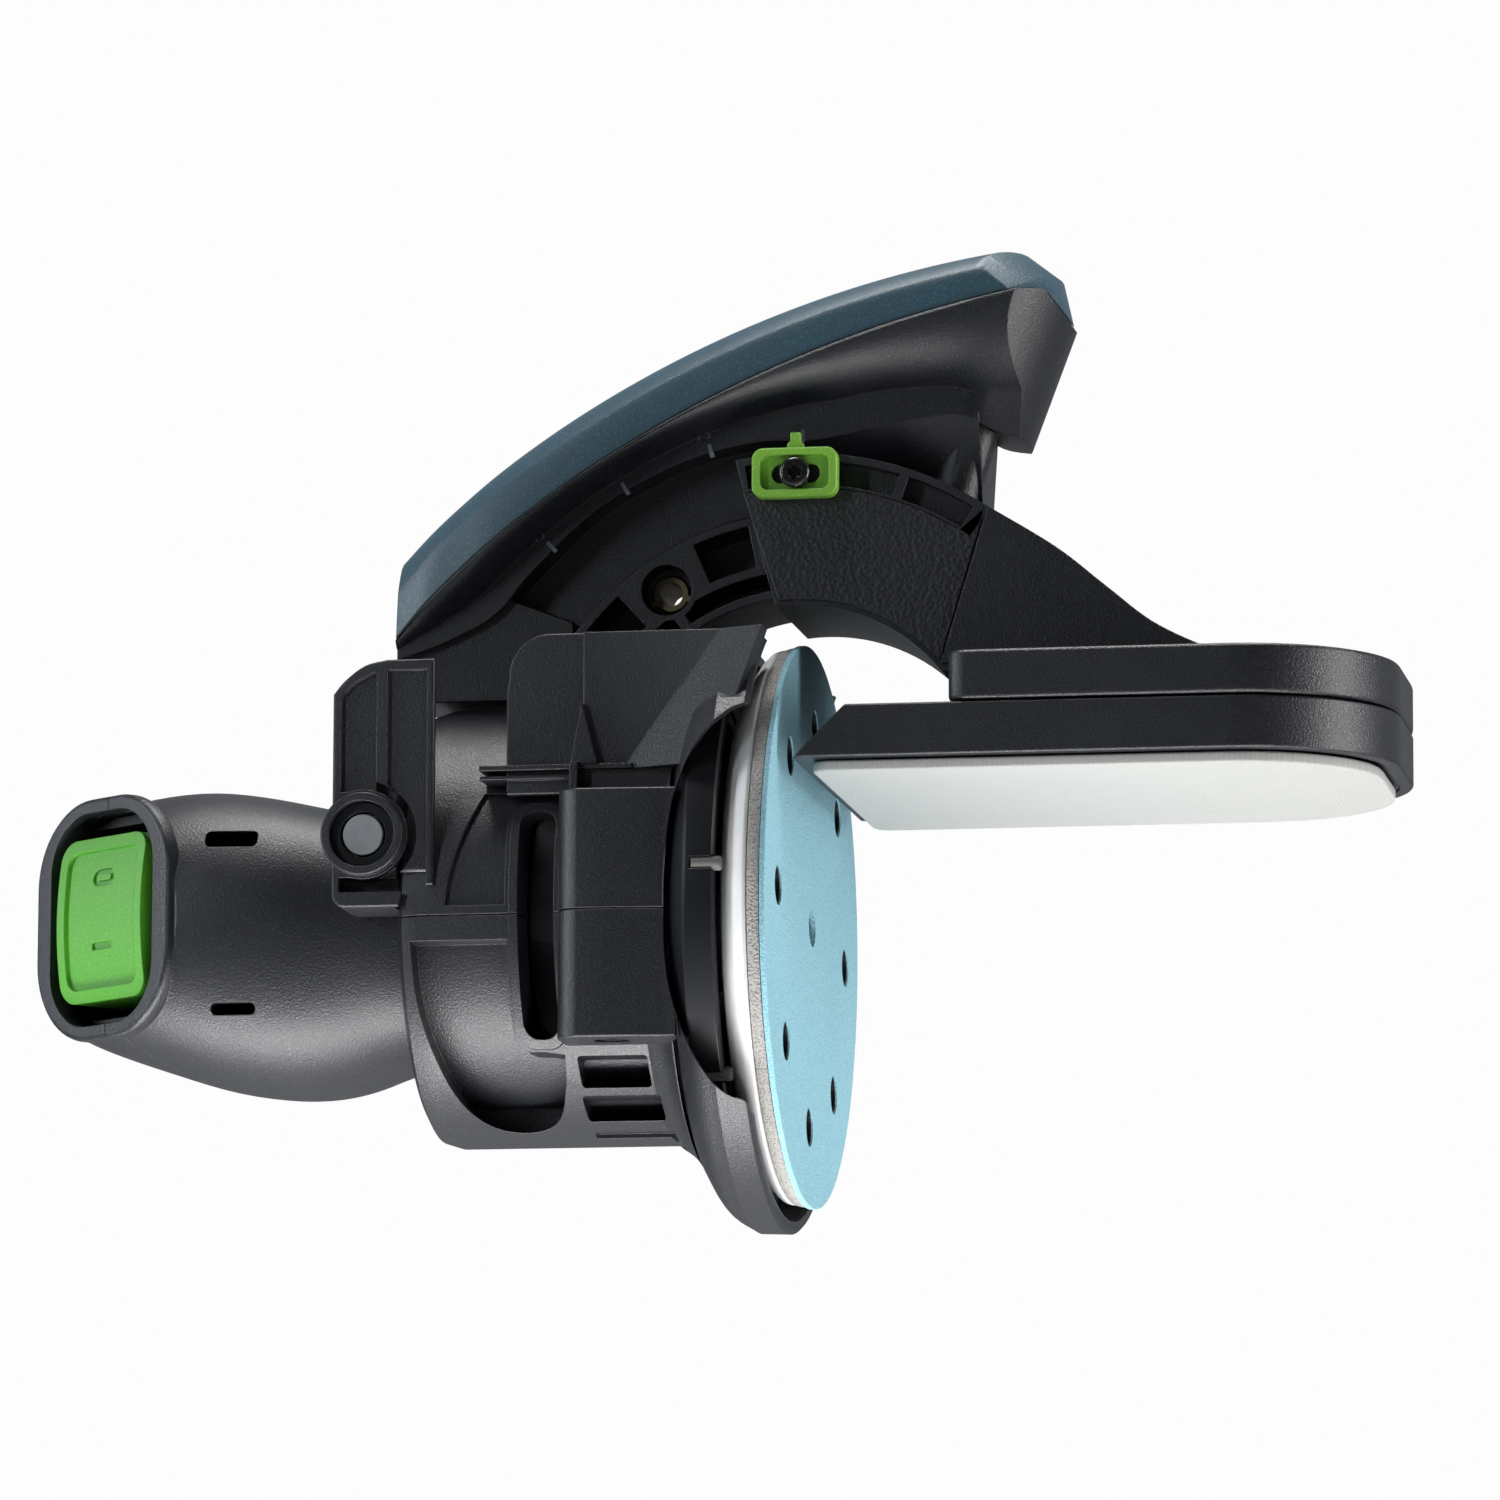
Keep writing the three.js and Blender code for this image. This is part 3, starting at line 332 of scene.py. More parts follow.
    def _through(self, kind: str, settings: dict[str, object]) -> "Shape":
        """Passes the body through one modifier."""
        holder = self.as_object("blank")
        modifier = holder.modifiers.new(kind.lower(), kind)
        for name, value in settings.items():
            setattr(modifier, name, value)
        graph = bpy.context.evaluated_depsgraph_get()
        mesh = bpy.data.meshes.new_from_object(holder.evaluated_get(graph))
        made = Shape()
        made.bm.from_mesh(mesh)
        bmesh.ops.remove_doubles(made.bm, verts=made.bm.verts, dist=0.002)
        bmesh.ops.dissolve_degenerate(made.bm, edges=made.bm.edges, dist=0.002)
        bpy.data.objects.remove(holder)
        bpy.data.meshes.remove(mesh)
        return made

    def as_object(self, name: str) -> bpy.types.Object:
        """The body as an object of the scene, still in millimetres."""
        mesh = bpy.data.meshes.new(name)
        self.bm.to_mesh(mesh)
        made = bpy.data.objects.new(name, mesh)
        bpy.context.scene.collection.objects.link(made)
        return made


# ---- Shader nodes ----


Link = bpy.types.NodeSocket


class Value:
    """A number socket that takes part in Python expressions."""

    def __init__(self, tree: "Tree", socket: Link) -> None:
        """Wraps a socket of a tree."""
        self.tree, self.socket = tree, socket

    def maths(self, operation: str, *operands: "Value | float") -> "Value":
        """Adds one Math node over these operands."""
        node = self.tree.node("ShaderNodeMath", {"operation": operation}, dict(enumerate(operands)))
        return Value(self.tree, node.outputs[0])

    def __add__(self, other: "Value | float") -> "Value":
        """Sum."""
        return self.maths("ADD", self, other)

    def __radd__(self, other: float) -> "Value":
        """Sum with a number on the left."""
        return self.maths("ADD", other, self)

    def __sub__(self, other: "Value | float") -> "Value":
        """Difference."""
        return self.maths("SUBTRACT", self, other)

    def __rsub__(self, other: float) -> "Value":
        """Difference from a number."""
        return self.maths("SUBTRACT", other, self)

    def __mul__(self, other: "Value | float") -> "Value":
        """Product."""
        return self.maths("MULTIPLY", self, other)

    def __rmul__(self, other: float) -> "Value":
        """Product with a number on the left."""
        return self.maths("MULTIPLY", other, self)

    def above(self, limit: float, width: float) -> "Value":
        """A soft step from 0 below a limit to 1 above it."""
        rising = (self - (limit - width)) * (0.5 / width)
        return self.maths("MINIMUM", self.maths("MAXIMUM", rising, 0.0), 1.0)


class Tree:
    """A material's nodes, with one Principled shader."""

    def __init__(self, name: str) -> None:
        """Makes the material and its output."""
        self.material = bpy.data.materials.new(name)
        self.material.use_nodes = True
        self.nodes = self.material.node_tree.nodes
        self.nodes.clear()
        self.shader = self.node("ShaderNodeBsdfPrincipled")
        self.node("ShaderNodeOutputMaterial", inputs={"Surface": self.shader.outputs[0]})
        self.where = self.node("ShaderNodeTexCoord").outputs["Object"]

    def node(
        self,
        kind: str,
        settings: dict[str, object] | None = None,
        inputs: dict[str | int, object] | None = None,
    ) -> bpy.types.Node:
        """Adds one node.

        Args:
            kind: Its type.
            settings: Properties, set before the inputs.
            inputs: Values or links of its sockets, by name or number.

        Returns:
            The node.
        """
        made = self.nodes.new(kind)
        for name, value in (settings or {}).items():
            setattr(made, name, value)
        self.feed(made, inputs or {})
        return made

    def feed(self, node: bpy.types.Node, inputs: dict[str | int, object]) -> None:
        """Sets or links a node's sockets, by name or number."""
        for name, value in inputs.items():
            link = value.socket if isinstance(value, Value) else value
            if isinstance(link, bpy.types.NodeSocket):
                self.material.node_tree.links.new(link, node.inputs[name])
            else:
                node.inputs[name].default_value = link

    def noise(self, size: float, detail: float = 2.0, at: Link | None = None) -> Value:
        """Soft noise from 0 to 1 with blotches of about this size in millimetres."""
        inputs = {"Vector": at or self.where, "Scale": 1 / (size * MM), "Detail": detail, "Roughness": 0.6}
        return Value(self, self.node("ShaderNodeTexNoise", inputs=inputs).outputs[0])

    def cells(self, size: float, at: Link | None = None) -> Value:
        """Distance to the nearest of scattered points, about one to a cell of this size in millimetres."""
        inputs = {"Vector": at or self.where, "Scale": 1 / (size * MM)}
        return Value(self, self.node("ShaderNodeTexVoronoi", inputs=inputs).outputs["Distance"])

    def waves(self, pitch: float, direction: str, kind: str = "BANDS", at: Link | None = None) -> Value:
        """Even ridges at a pitch in millimetres, in bands or rings about an axis."""
        setting = "bands_direction" if kind == "BANDS" else "rings_direction"
        node = self.node(
            "ShaderNodeTexWave", {"wave_type": kind, setting: direction},
            {"Vector": at or self.where, "Scale": FULL_TURN / 20 / (pitch * MM), "Distortion": 0.0},
        )
        return Value(self, node.outputs["Fac"])

    def centred(self, point: Vector) -> Link:
        """Object coordinates measured from a point."""
        return self.node(
            "ShaderNodeMapping", {"vector_type": "POINT"}, {"Vector": self.where, "Location": -point},
        ).outputs[0]

    def blend(self, share: Value, low: Triple, high: Triple) -> Link:
        """A colour between two, by a number from 0 to 1."""
        return self.node(
            "ShaderNodeMix", {"data_type": "RGBA"}, {0: share, 6: (*low, 1), 7: (*high, 1)},
        ).outputs[2]

    def dress(
        self,
        colour: Link | Triple,
        roughness: Value | float,
        relief: Value | None,
        depth: float,
        edge: float = 0.0,
        **fixed: float,
    ) -> bpy.types.Material:
        """Connects the shader.

        Args:
            colour: Base colour.
            roughness: Roughness.
            relief: Height pattern from 0 to 1.
            depth: Its depth in millimetres.
            edge: Radius in millimetres to which sharp edges look worn round.
            fixed: Other sockets of the shader, with underscores for spaces.

        Returns:
            The material.
        """
        base = (*colour, 1) if isinstance(colour, tuple) else colour
        inputs: dict[str | int, object] = {"Base Color": base, "Roughness": roughness}
        normal: dict[str | int, object] = {}
        if edge:
            normal["Normal"] = self.node("ShaderNodeBevel", {"samples": 4}, {"Radius": edge * MM}).outputs[0]
        if relief is not None:
            normal |= {"Height": relief, "Distance": depth * MM, "Strength": 1.0}
            inputs["Normal"] = self.node("ShaderNodeBump", inputs=normal).outputs[0]
        elif edge:
            inputs["Normal"] = normal["Normal"]
        inputs |= {name.replace("_", " "): value for name, value in fixed.items()}
        self.feed(self.shader, inputs)
        return self.material


# ---- Finishes ----


@dataclass(frozen=True)
class GrainedPlastic:
    """Moulded plastic with a spark-eroded grain, its peaks painted lighter as glints."""

    colour: Triple
    roughness: float = 0.36
    grain: float = 0.5  # size in millimetres
    depth: float = 0.14
    painted_glint: float = 4.5  # how much lighter the peaks of the grain are painted, as painted glints of light
    edge: float = 0.35
    shine: float = 0.8

    def material(self, name: str) -> bpy.types.Material:
        """Builds the node material."""
        tree = Tree(name)
        grain = tree.noise(self.grain, 3.0)
        patch = tree.noise(14.0, 3.0)
        # Painted highlight: the peaks of the grain are painted lighter as glints, the rest a little darker.
        glint_tops = grain.above(0.6, 0.06)
        colour = tree.blend(glint_tops, toned(self.colour, 0.82), toned(self.colour, self.painted_glint))
        roughness = self.roughness + patch * 0.1 - glint_tops * 0.1
        return tree.dress(colour, roughness, grain, self.depth, self.edge, Specular_IOR_Level=self.shine)


@dataclass(frozen=True)
class LeatherPlastic:
    """Moulded plastic with a coarse leather grain."""

    colour: Triple
    roughness: float = 0.42
    cell: float = 1.3
    depth: float = 0.22

    def material(self, name: str) -> bpy.types.Material:
        """Builds the node material."""
        tree = Tree(name)
        pebble = tree.cells(self.cell)
        fine = tree.noise(0.3, 2.0)
        height = 1 - pebble * 0.9 + fine * 0.35
        # Painted light and shade: the pebbles are painted lighter than the grooves between them.
        colour = tree.blend(pebble.above(0.55, 0.2), toned(self.colour, 1.25), self.colour)
        roughness = self.roughness + pebble * 0.12
        return tree.dress(colour, roughness, height, self.depth, 0.35, Specular_IOR_Level=0.8)


@dataclass(frozen=True)
class SmoothPlastic:
    """Polished or satin plastic with faint waviness."""

    colour: Triple
    roughness: float = 0.32
    ripple: float = 0.01
    edge: float = 0.3
    coat: float = 0.0

    def material(self, name: str) -> bpy.types.Material:
        """Builds the node material."""
        tree = Tree(name)
        patch = tree.noise(9.0, 3.0)
        fine = tree.noise(0.5, 2.0)
        colour = tree.blend(patch, toned(self.colour, 0.9), toned(self.colour, 1.1))
        roughness = self.roughness + fine * 0.08
        return tree.dress(colour, roughness, fine, self.ripple, self.edge, Coat_Weight=self.coat)


@dataclass(frozen=True)
class Felt:
    """Dense pale felt with a fine woven face."""

    colour: Triple

    def material(self, name: str) -> bpy.types.Material:
        """Builds the node material."""
        tree = Tree(name)
        weave = tree.waves(1.1, "X") * 0.5 + tree.waves(1.1, "Y") * 0.5
        fibre = tree.noise(0.35, 4.0)
        patch = tree.noise(8.0, 3.0)
        share = fibre * 0.55 + weave * 0.25 + patch * 0.2
        colour = tree.blend(share, toned(self.colour, 0.72), toned(self.colour, 1.12))
        return tree.dress(colour, 0.92, fibre * 0.6 + weave * 0.4, 0.12, 0.6, Sheen_Weight=0.25)


@dataclass(frozen=True)
class Grit:
    """Abrasive grains bonded on a film."""

    low: Triple
    high: Triple
    grain: float = 0.42

    def material(self, name: str) -> bpy.types.Material:
        """Builds the node material."""
        tree = Tree(name)
        grains = 1 - tree.cells(self.grain)
        patch = tree.noise(2.2, 3.0)
        colour = tree.blend(grains.above(0.6, 0.25) * 0.75 + patch * 0.25, self.low, self.high)
        return tree.dress(colour, 0.78 + patch * 0.15, grains, 0.1)


@dataclass(frozen=True)
class Foam:
    """Open foam with a cut edge."""

    colour: Triple

    def material(self, name: str) -> bpy.types.Material:
        """Builds the node material."""
        tree = Tree(name)
        pores = tree.cells(0.6)
        # Painted shade: the pores are painted darker than the foam round them.
        colour = tree.blend(pores.above(0.3, 0.2), toned(self.colour, 0.45), self.colour)
        return tree.dress(colour, 0.95, pores, 0.2)


@dataclass(frozen=True)
class TurnedMetal:
    """Metal with concentric tool marks round an axis along y, or across it."""

    colour: Triple
    roughness: float = 0.28
    centre: Triple = (0.0, 0.0, 0.0)
    direction: str = "Y"
    pitch: float = 0.35

    def material(self, name: str) -> bpy.types.Material:
        """Builds the node material."""
        tree = Tree(name)
        at = tree.centred(Vector(self.centre))
        rings = tree.waves(self.pitch, self.direction, "RINGS", at)
        patch = tree.noise(1.6, 4.0)
        colour = tree.blend(rings * 0.4 + patch * 0.6, toned(self.colour, 0.7), self.colour)
        roughness, height = self.roughness + patch * 0.22, rings * 0.7 + patch * 0.5
        return tree.dress(colour, roughness, height, 0.02, 0.25, Metallic=1.0)


@dataclass(frozen=True)
class Studio:
    """Floor, soft lights and the camera."""

    azimuth: float = 9.95
    elevation: float = -9.0
    roll: float = 0.2
    distance: float = 2000.0
    focal_widths: float = 5.985  # focal length as a share of the picture's width
    target: Triple = (-14.2, 0.0, 12.2)
    floor: float = -520.0
    front: float = 0.015  # strength of the room's light in front of the object
    behind: float = 0.3

    def camera(self, shop: "Workshop") -> None:
        """Stands the camera where it sees the front from a little below."""
        data = bpy.data.cameras.new("camera")
        data.sensor_width, data.lens = 36.0, 36.0 * self.focal_widths
        data.clip_start, data.clip_end = 0.05, 60.0
        made = bpy.data.objects.new("camera", data)
        bpy.context.scene.collection.objects.link(made)
        a, e = math.radians(self.azimuth), math.radians(self.elevation)
        back = Vector((math.sin(a) * math.cos(e), -math.cos(a) * math.cos(e), math.sin(e)))
        turn = (-back).to_track_quat("-Z", "Y").to_matrix().to_4x4()
        tilt = Matrix.Rotation(math.radians(self.roll), 4, "Z")
        target = shop.place(self.target)
        made.matrix_world = Matrix.Translation(target + back * (self.distance * MM)) @ turn @ tilt
        bpy.context.scene.camera = made

    def lamp(self, name: str, at: Triple, aim: Triple, size: Span, power: float, colour: Triple) -> None:
        """Hangs one soft rectangular lamp, unseen by the camera."""
        data = bpy.data.lights.new(name, "AREA")
        data.shape, data.size, data.size_y = "RECTANGLE", size[0], size[1]
        data.energy, data.color = power, colour
        made = bpy.data.objects.new(name, data)
        bpy.context.scene.collection.objects.link(made)
        made.location = at
        made.rotation_mode = "QUATERNION"
        made.rotation_quaternion = (Vector(aim) - Vector(at)).to_track_quat("-Z", "Y")
        made.visible_camera = False

    def world(self) -> None:
        """Fills the room with white behind, above and below the object and near black in front of it."""
        world = bpy.data.worlds.new("room")
        world.use_nodes = True
        bpy.context.scene.world = world
        nodes, links = world.node_tree.nodes, world.node_tree.links
        lit, seen = nodes["Background"], nodes.new("ShaderNodeBackground")
        seen.inputs["Color"].default_value = (1, 1, 1, 1)
        seen.inputs["Strength"].default_value = 0.98
        lit.inputs["Color"].default_value = (0.90, 0.95, 1.0, 1)
        split = nodes.new("ShaderNodeSeparateXYZ")
        links.new(nodes.new("ShaderNodeTexCoord").outputs["Generated"], split.inputs[0])
        shade = nodes.new("ShaderNodeMapRange")
        shade.interpolation_type = "SMOOTHSTEP"
        limits = {"From Min": -0.75, "From Max": 0.6, "To Min": self.front, "To Max": self.behind}
        for name, value in limits.items():
            shade.inputs[name].default_value = value
        links.new(split.outputs["Y"], shade.inputs["Value"])
        links.new(shade.outputs[0], lit.inputs["Strength"])
        choice = nodes.new("ShaderNodeMixShader")
        links.new(nodes.new("ShaderNodeLightPath").outputs["Is Camera Ray"], choice.inputs[0])
        links.new(lit.outputs[0], choice.inputs[1])
        links.new(seen.outputs[0], choice.inputs[2])
        links.new(choice.outputs[0], nodes["World Output"].inputs["Surface"])

    def set_up(self, shop: "Workshop") -> None:
        """Makes the floor, the lamps and the camera."""
        self.camera(shop)
        self.world()
        floor = Shape.block((-30000, 30000), (-30000, 30000), (self.floor - 20, self.floor))
        made = shop.add(floor, "floor", "floor", None)
        cool, white = (0.88, 0.94, 1.0), (1.0, 1.0, 1.0)
        self.lamp("lamp_left", (-1.1, -0.28, 0.2), (-0.1, 0, 0), (0.16, 0.8), 4.2, cool)
        self.lamp("lamp_right", (1.1, -0.16, 0.1), (0, 0, 0), (0.2, 0.8), 8.5, white)
        self.lamp("lamp_top", (-0.1, 0.05, 1.0), (-0.05, 0, 0), (1.0, 0.2), 11.0, white)
        self.lamp("lamp_below", (-0.12, -0.16, -0.48), (-0.08, 0, 0), (0.8, 0.1), 5.0, white)
        self.lamp("lamp_front", (-0.75, -0.9, 0.35), (-0.1, 0, 0), (0.05, 0.5), 1.5, cool)
        bpy.context.scene.view_settings.view_transform = "Standard"


BLACK = (0.0042, 0.0048, 0.0078)
FINISHES: dict[str, object] = {
    "black": GrainedPlastic(BLACK),
    "black_leather": LeatherPlastic(BLACK, cell=1.0, depth=0.16),
    "black_smooth": SmoothPlastic((0.005, 0.0056, 0.008)),
    "petrol": GrainedPlastic((0.030, 0.085, 0.120), roughness=0.36, depth=0.1, painted_glint=1.7, edge=0.8),
    "switch_green": GrainedPlastic((0.115, 0.500, 0.026), roughness=0.4, depth=0.02, painted_glint=1.1),
    "pointer_green": GrainedPlastic((0.290, 0.660, 0.060), roughness=0.4, depth=0.02, painted_glint=1.08),
    "pad_white": SmoothPlastic((0.86, 0.86, 0.85), roughness=0.62, edge=0.5),
    "rubber": GrainedPlastic((0.16, 0.15, 0.14), roughness=0.75, depth=0.02, painted_glint=1.2),
    "foam": Foam((0.42, 0.40, 0.38)),
    "abrasive": Grit((0.19, 0.42, 0.52), (0.43, 0.70, 0.78)),
    "felt": Felt((0.44, 0.44, 0.42)),
    "steel": TurnedMetal((0.55, 0.56, 0.58)),
    "pin_steel": TurnedMetal((0.62, 0.63, 0.65), roughness=0.36, centre=(-0.15905, 0.0, -0.0124), pitch=0.55),
    "screw_black": SmoothPlastic((0.012, 0.012, 0.014), roughness=0.16, coat=0.6, edge=0.2),
    "dark_steel": TurnedMetal((0.06, 0.062, 0.07), roughness=0.34),
    "brass": TurnedMetal((0.26, 0.21, 0.13), roughness=0.35),
    "aluminium": TurnedMetal((0.60, 0.61, 0.62), roughness=0.4, direction="X"),
    "copper": TurnedMetal((0.52, 0.23, 0.10), roughness=0.3, direction="X", pitch=0.8),
    "board": SmoothPlastic((0.02, 0.12, 0.05), roughness=0.4),
    "floor": SmoothPlastic((0.88, 0.88, 0.88), roughness=0.9, ripple=0.0, edge=0.0),
    "print": SmoothPlastic((0.26, 0.28, 0.32), roughness=0.4, edge=0.0),
}


@dataclass
class Workshop:
    """Turns shapes into finished pieces that ride on the frame."""

    frame: dict[str, object]
    pivot_x: float = 0.0
    spindle_z: float = 0.0
    pad_z: float = 0.0
    materials: dict[str, bpy.types.Material] = field(default_factory=dict)

    def __post_init__(self) -> None:
        """Reads the pivot, spindle and pad axes from the frame."""
        joints = {joint["name"]: joint for joint in self.frame["joints"]}
        self.pivot_x = joints["angle_adjust"]["pos_m"][0] / MM
        self.spindle_z = joints["spindle_spin"]["pos_m"][2] / MM
        self.pad_z = joints["pad_spin"]["pos_m"][2] / MM

    def place(self, point: Triple) -> Vector:
        """A point about the pivot, in metres in the row frame."""
        return Vector((point[0] + self.pivot_x, point[1], point[2])) * MM

    def span(self, node: str, axis: int) -> Span:
        """Where a node of the frame starts and ends on an axis, in millimetres about the pivot."""
        low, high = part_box(node)
        shift = self.pivot_x if axis == 0 else 0.0
        return low[axis] / MM - shift, high[axis] / MM - shift

    def finish(self, name: str) -> bpy.types.Material:
        """The material of a finish, built once."""
        if name not in self.materials:
            self.materials[name] = FINISHES[name].material(name)
        return self.materials[name]

    def add(
        self,
        shape: Shape,
        name: str,
        finish: str,
        body: Body | None,
        stands_for: Sequence[str] = (),
        slot: str = "",
        sharp: float = 30.0,
    ) -> bpy.types.Object:
        """Makes a piece of a shape.

        Args:
            shape: The closed body, in millimetres about the pivot.
            name: The piece's name.
            finish: The name of its finish.
            body: The body it moves with, or None for the stage.
            stands_for: Nodes of the frame that it replaces.
            slot: The record's material slot; not used.
            sharp: Angle in degrees from which an edge is drawn sharp.

        Returns:
            The piece.
        """
        shape.shifted(self.pivot_x, 0, 0).moved(Matrix.Scale(MM, 4))
        made = shape.as_object(name)
        made.data.polygons.foreach_set("use_smooth", [True] * len(made.data.polygons))
        made.data.set_sharp_from_angle(angle=math.radians(sharp))
        made.data.materials.append(self.finish(finish))
        if body is not None:
            weighted = made.modifiers.new("weighted", "WEIGHTED_NORMAL")
            weighted.keep_sharp = True
            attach(made, body.value)
            if stands_for:
                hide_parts(*stands_for)
            LOG.info("%s: %d faces on %s", name, len(made.data.polygons), body.value)
        return made

    def dress(self, node: str, finish: str) -> None:
        """Gives a node of the frame its finish."""
        mesh = self.frame["nodes"][node].data
        mesh.materials.clear()
        mesh.materials.append(self.finish(finish))
        LOG.info("%s: dressed in %s", node, finish)


# ---- The sander's own housing ----


@dataclass(frozen=True)
class GripHead:
    """The sander's palm grip: two hollow shells, the bezel, the switch tray and the rocker."""

    # Stations of x, height above and below the motor axis, and half width.
    stations: tuple[tuple[float, float, float, float], ...] = (
        (-175.5, 11, 12, 10), (-173.5, 18, 17.5, 18), (-168, 24.5, 22.5, 26), (-158, 28.5, 27, 32),
        (-144, 31.5, 31.6, 35), (-131, 32, 36, 36), (-115, 29, 38.2, 35), (-105, 26.5, 37.5, 33),
        (-96, 25.5, 35, 31), (-88, 25.5, 31, 30), (-58.4, 27, 29, 29), (-45, 27, 29, 29),
    )
    squareness: float = 2.3
    wall: float = 2.6
    open_end: float = -58.7
    seam_gap: float = 0.3
    seam: tuple[Point, ...] = (
        (-50, 3), (-122, 3), (-140, -6), (-154, -21), (-168, -36), (-168, -60), (-50, -60),
    )
    switch: Triple = (-156.0, -20.0, -25.5)
    turn: float = -38.0
    opening: Point = (36.5, 48.0)
    crown: float = 85.0  # radius of the rocker's face
    proud: float = 2.4
    inlet: Point = (-116.0, -40.0)
    ring_corners: int = 16

    def loft(self, inset: float, spindle_z: float) -> Shape:
        """The outer form, or one smaller by a wall."""
        rings = []
        for x, above, below, half in self.stations:
            ring = []
            for i in range(self.ring_corners):
                a = FULL_TURN * i / self.ring_corners
                c, s = (math.copysign(abs(v) ** (2 / self.squareness), v) for v in (math.cos(a), math.sin(a)))
                height = (above if s > 0 else below) - inset
                ring.append((max(x, inset - 175.5), (half - inset) * c * 1.02, spindle_z + height * s * 1.02))
            rings.append(ring)
        return Shape.loft(rings).softened()

    def at_switch(self, shape: Shape) -> Shape:
        """Turns a shape made about the switch onto the housing."""
        return shape.moved(Matrix.Translation(self.switch) @ Matrix.Rotation(math.radians(self.turn), 4, "Z"))

    def frame_of(self, grow: Point, depth: Span, r: float, rim: float = 0.0) -> Shape:
        """A rounded block about the switch, larger than its opening."""
        w, h = (self.opening[0] + grow[0]) / 2, (self.opening[1] + grow[1]) / 2
        return self.at_switch(Shape.prism(rounded((-w, w), (-h, h), r, 6), Axis.Y, depth, rim))

    def shells(self, shop: Workshop) -> None:
        """The two shells, with the bezel, vents and seam."""
        flat = self.at_switch(Shape.prism(rounded((-45, 45), (-45, 45), 2), Axis.Y, (-40, 0)))
        vents = [
            Shape.prism(rounded(x, z, 1.2), Axis.Y, (-60, -22))
            for x, z in (((-131, -119.4), (-11.8, -8)), ((-129.5, -119.4), (-49, -46.4)))
        ]
        body = self.loft(0, shop.spindle_z).minus(
            flat, self.loft(self.wall, shop.spindle_z), Shape.block((self.open_end, 0), (-60, 60), (-90, 40)),
        )
        lip = self.frame_of((11, 6.6), (-1.6, 2.6), 19, 1.3)
        whole = body.plus(lip).minus(
            self.frame_of((0, 0), (-6, 34), 13), *vents,
            Shape.rod(Axis.Y, 13.1, (10, 70), self.inlet),
        )
        gap = self.seam_gap / 2
        front = Shape.prism(self.seam, Axis.Z, (-90, 30))
        pieces = (
            ("grip_front", whole.common(front.copied().shifted(0, -gap, 0)), "grip_shell_front"),
            ("grip_rear", whole.minus(front.copied().shifted(0, gap, 0)), "grip_shell_rear"),
        )
        for name, shape, node in pieces:
            shop.add(shape, name, "black", Body.GUIDE, [node], "black_plastic")

    def rocker(self, shop: Workshop) -> None:
        """The rocker with its raised border and the two sunk marks."""
        def under(r: float) -> Shape:
            """The crowned solid below a face of this radius."""
            return Shape.rod(Axis.X, r, (-20, 20), (self.crown - self.proud, 0), 512)

        above = (-6, 4)
        body = Shape.prism(rounded((-15, 15), (-18.4, 18.4), 4.5, 6), Axis.Y, (-4, 13))
        body = body.common(under(self.crown))
        face = Shape.prism(rounded((-12.4, 12.4), (-15.6, 15.6), 3, 8), Axis.Y, above)
        face = face.minus(under(self.crown - 0.9))
        ring = Shape.prism(rounded((-3.7, 3.7), (7.3, 11.1), 1.89, 8), Axis.Y, above).minus(
            Shape.prism(rounded((-2.5, 2.5), (8.5, 9.9), 0.69, 12), Axis.Y, above),
        )
        bar = Shape.prism(rounded((-3.5, 3.5), (-7, -5.3), 0.3, 30), Axis.Y, above)
        marks = [mark.minus(under(self.crown - 1.5)) for mark in (ring, bar)]
        shape = self.at_switch(body.minus(face, *marks))
        shop.add(shape, "rocker", "switch_green", Body.SWITCH, ["switch_rocker"], "switch_green")

    def build(self, shop: Workshop) -> None:
        """Builds the housing and dresses what stays as packed."""
        self.shells(shop)
        self.rocker(shop)
        shop.dress("switch_module", "black_smooth")


# ---- The guide ----


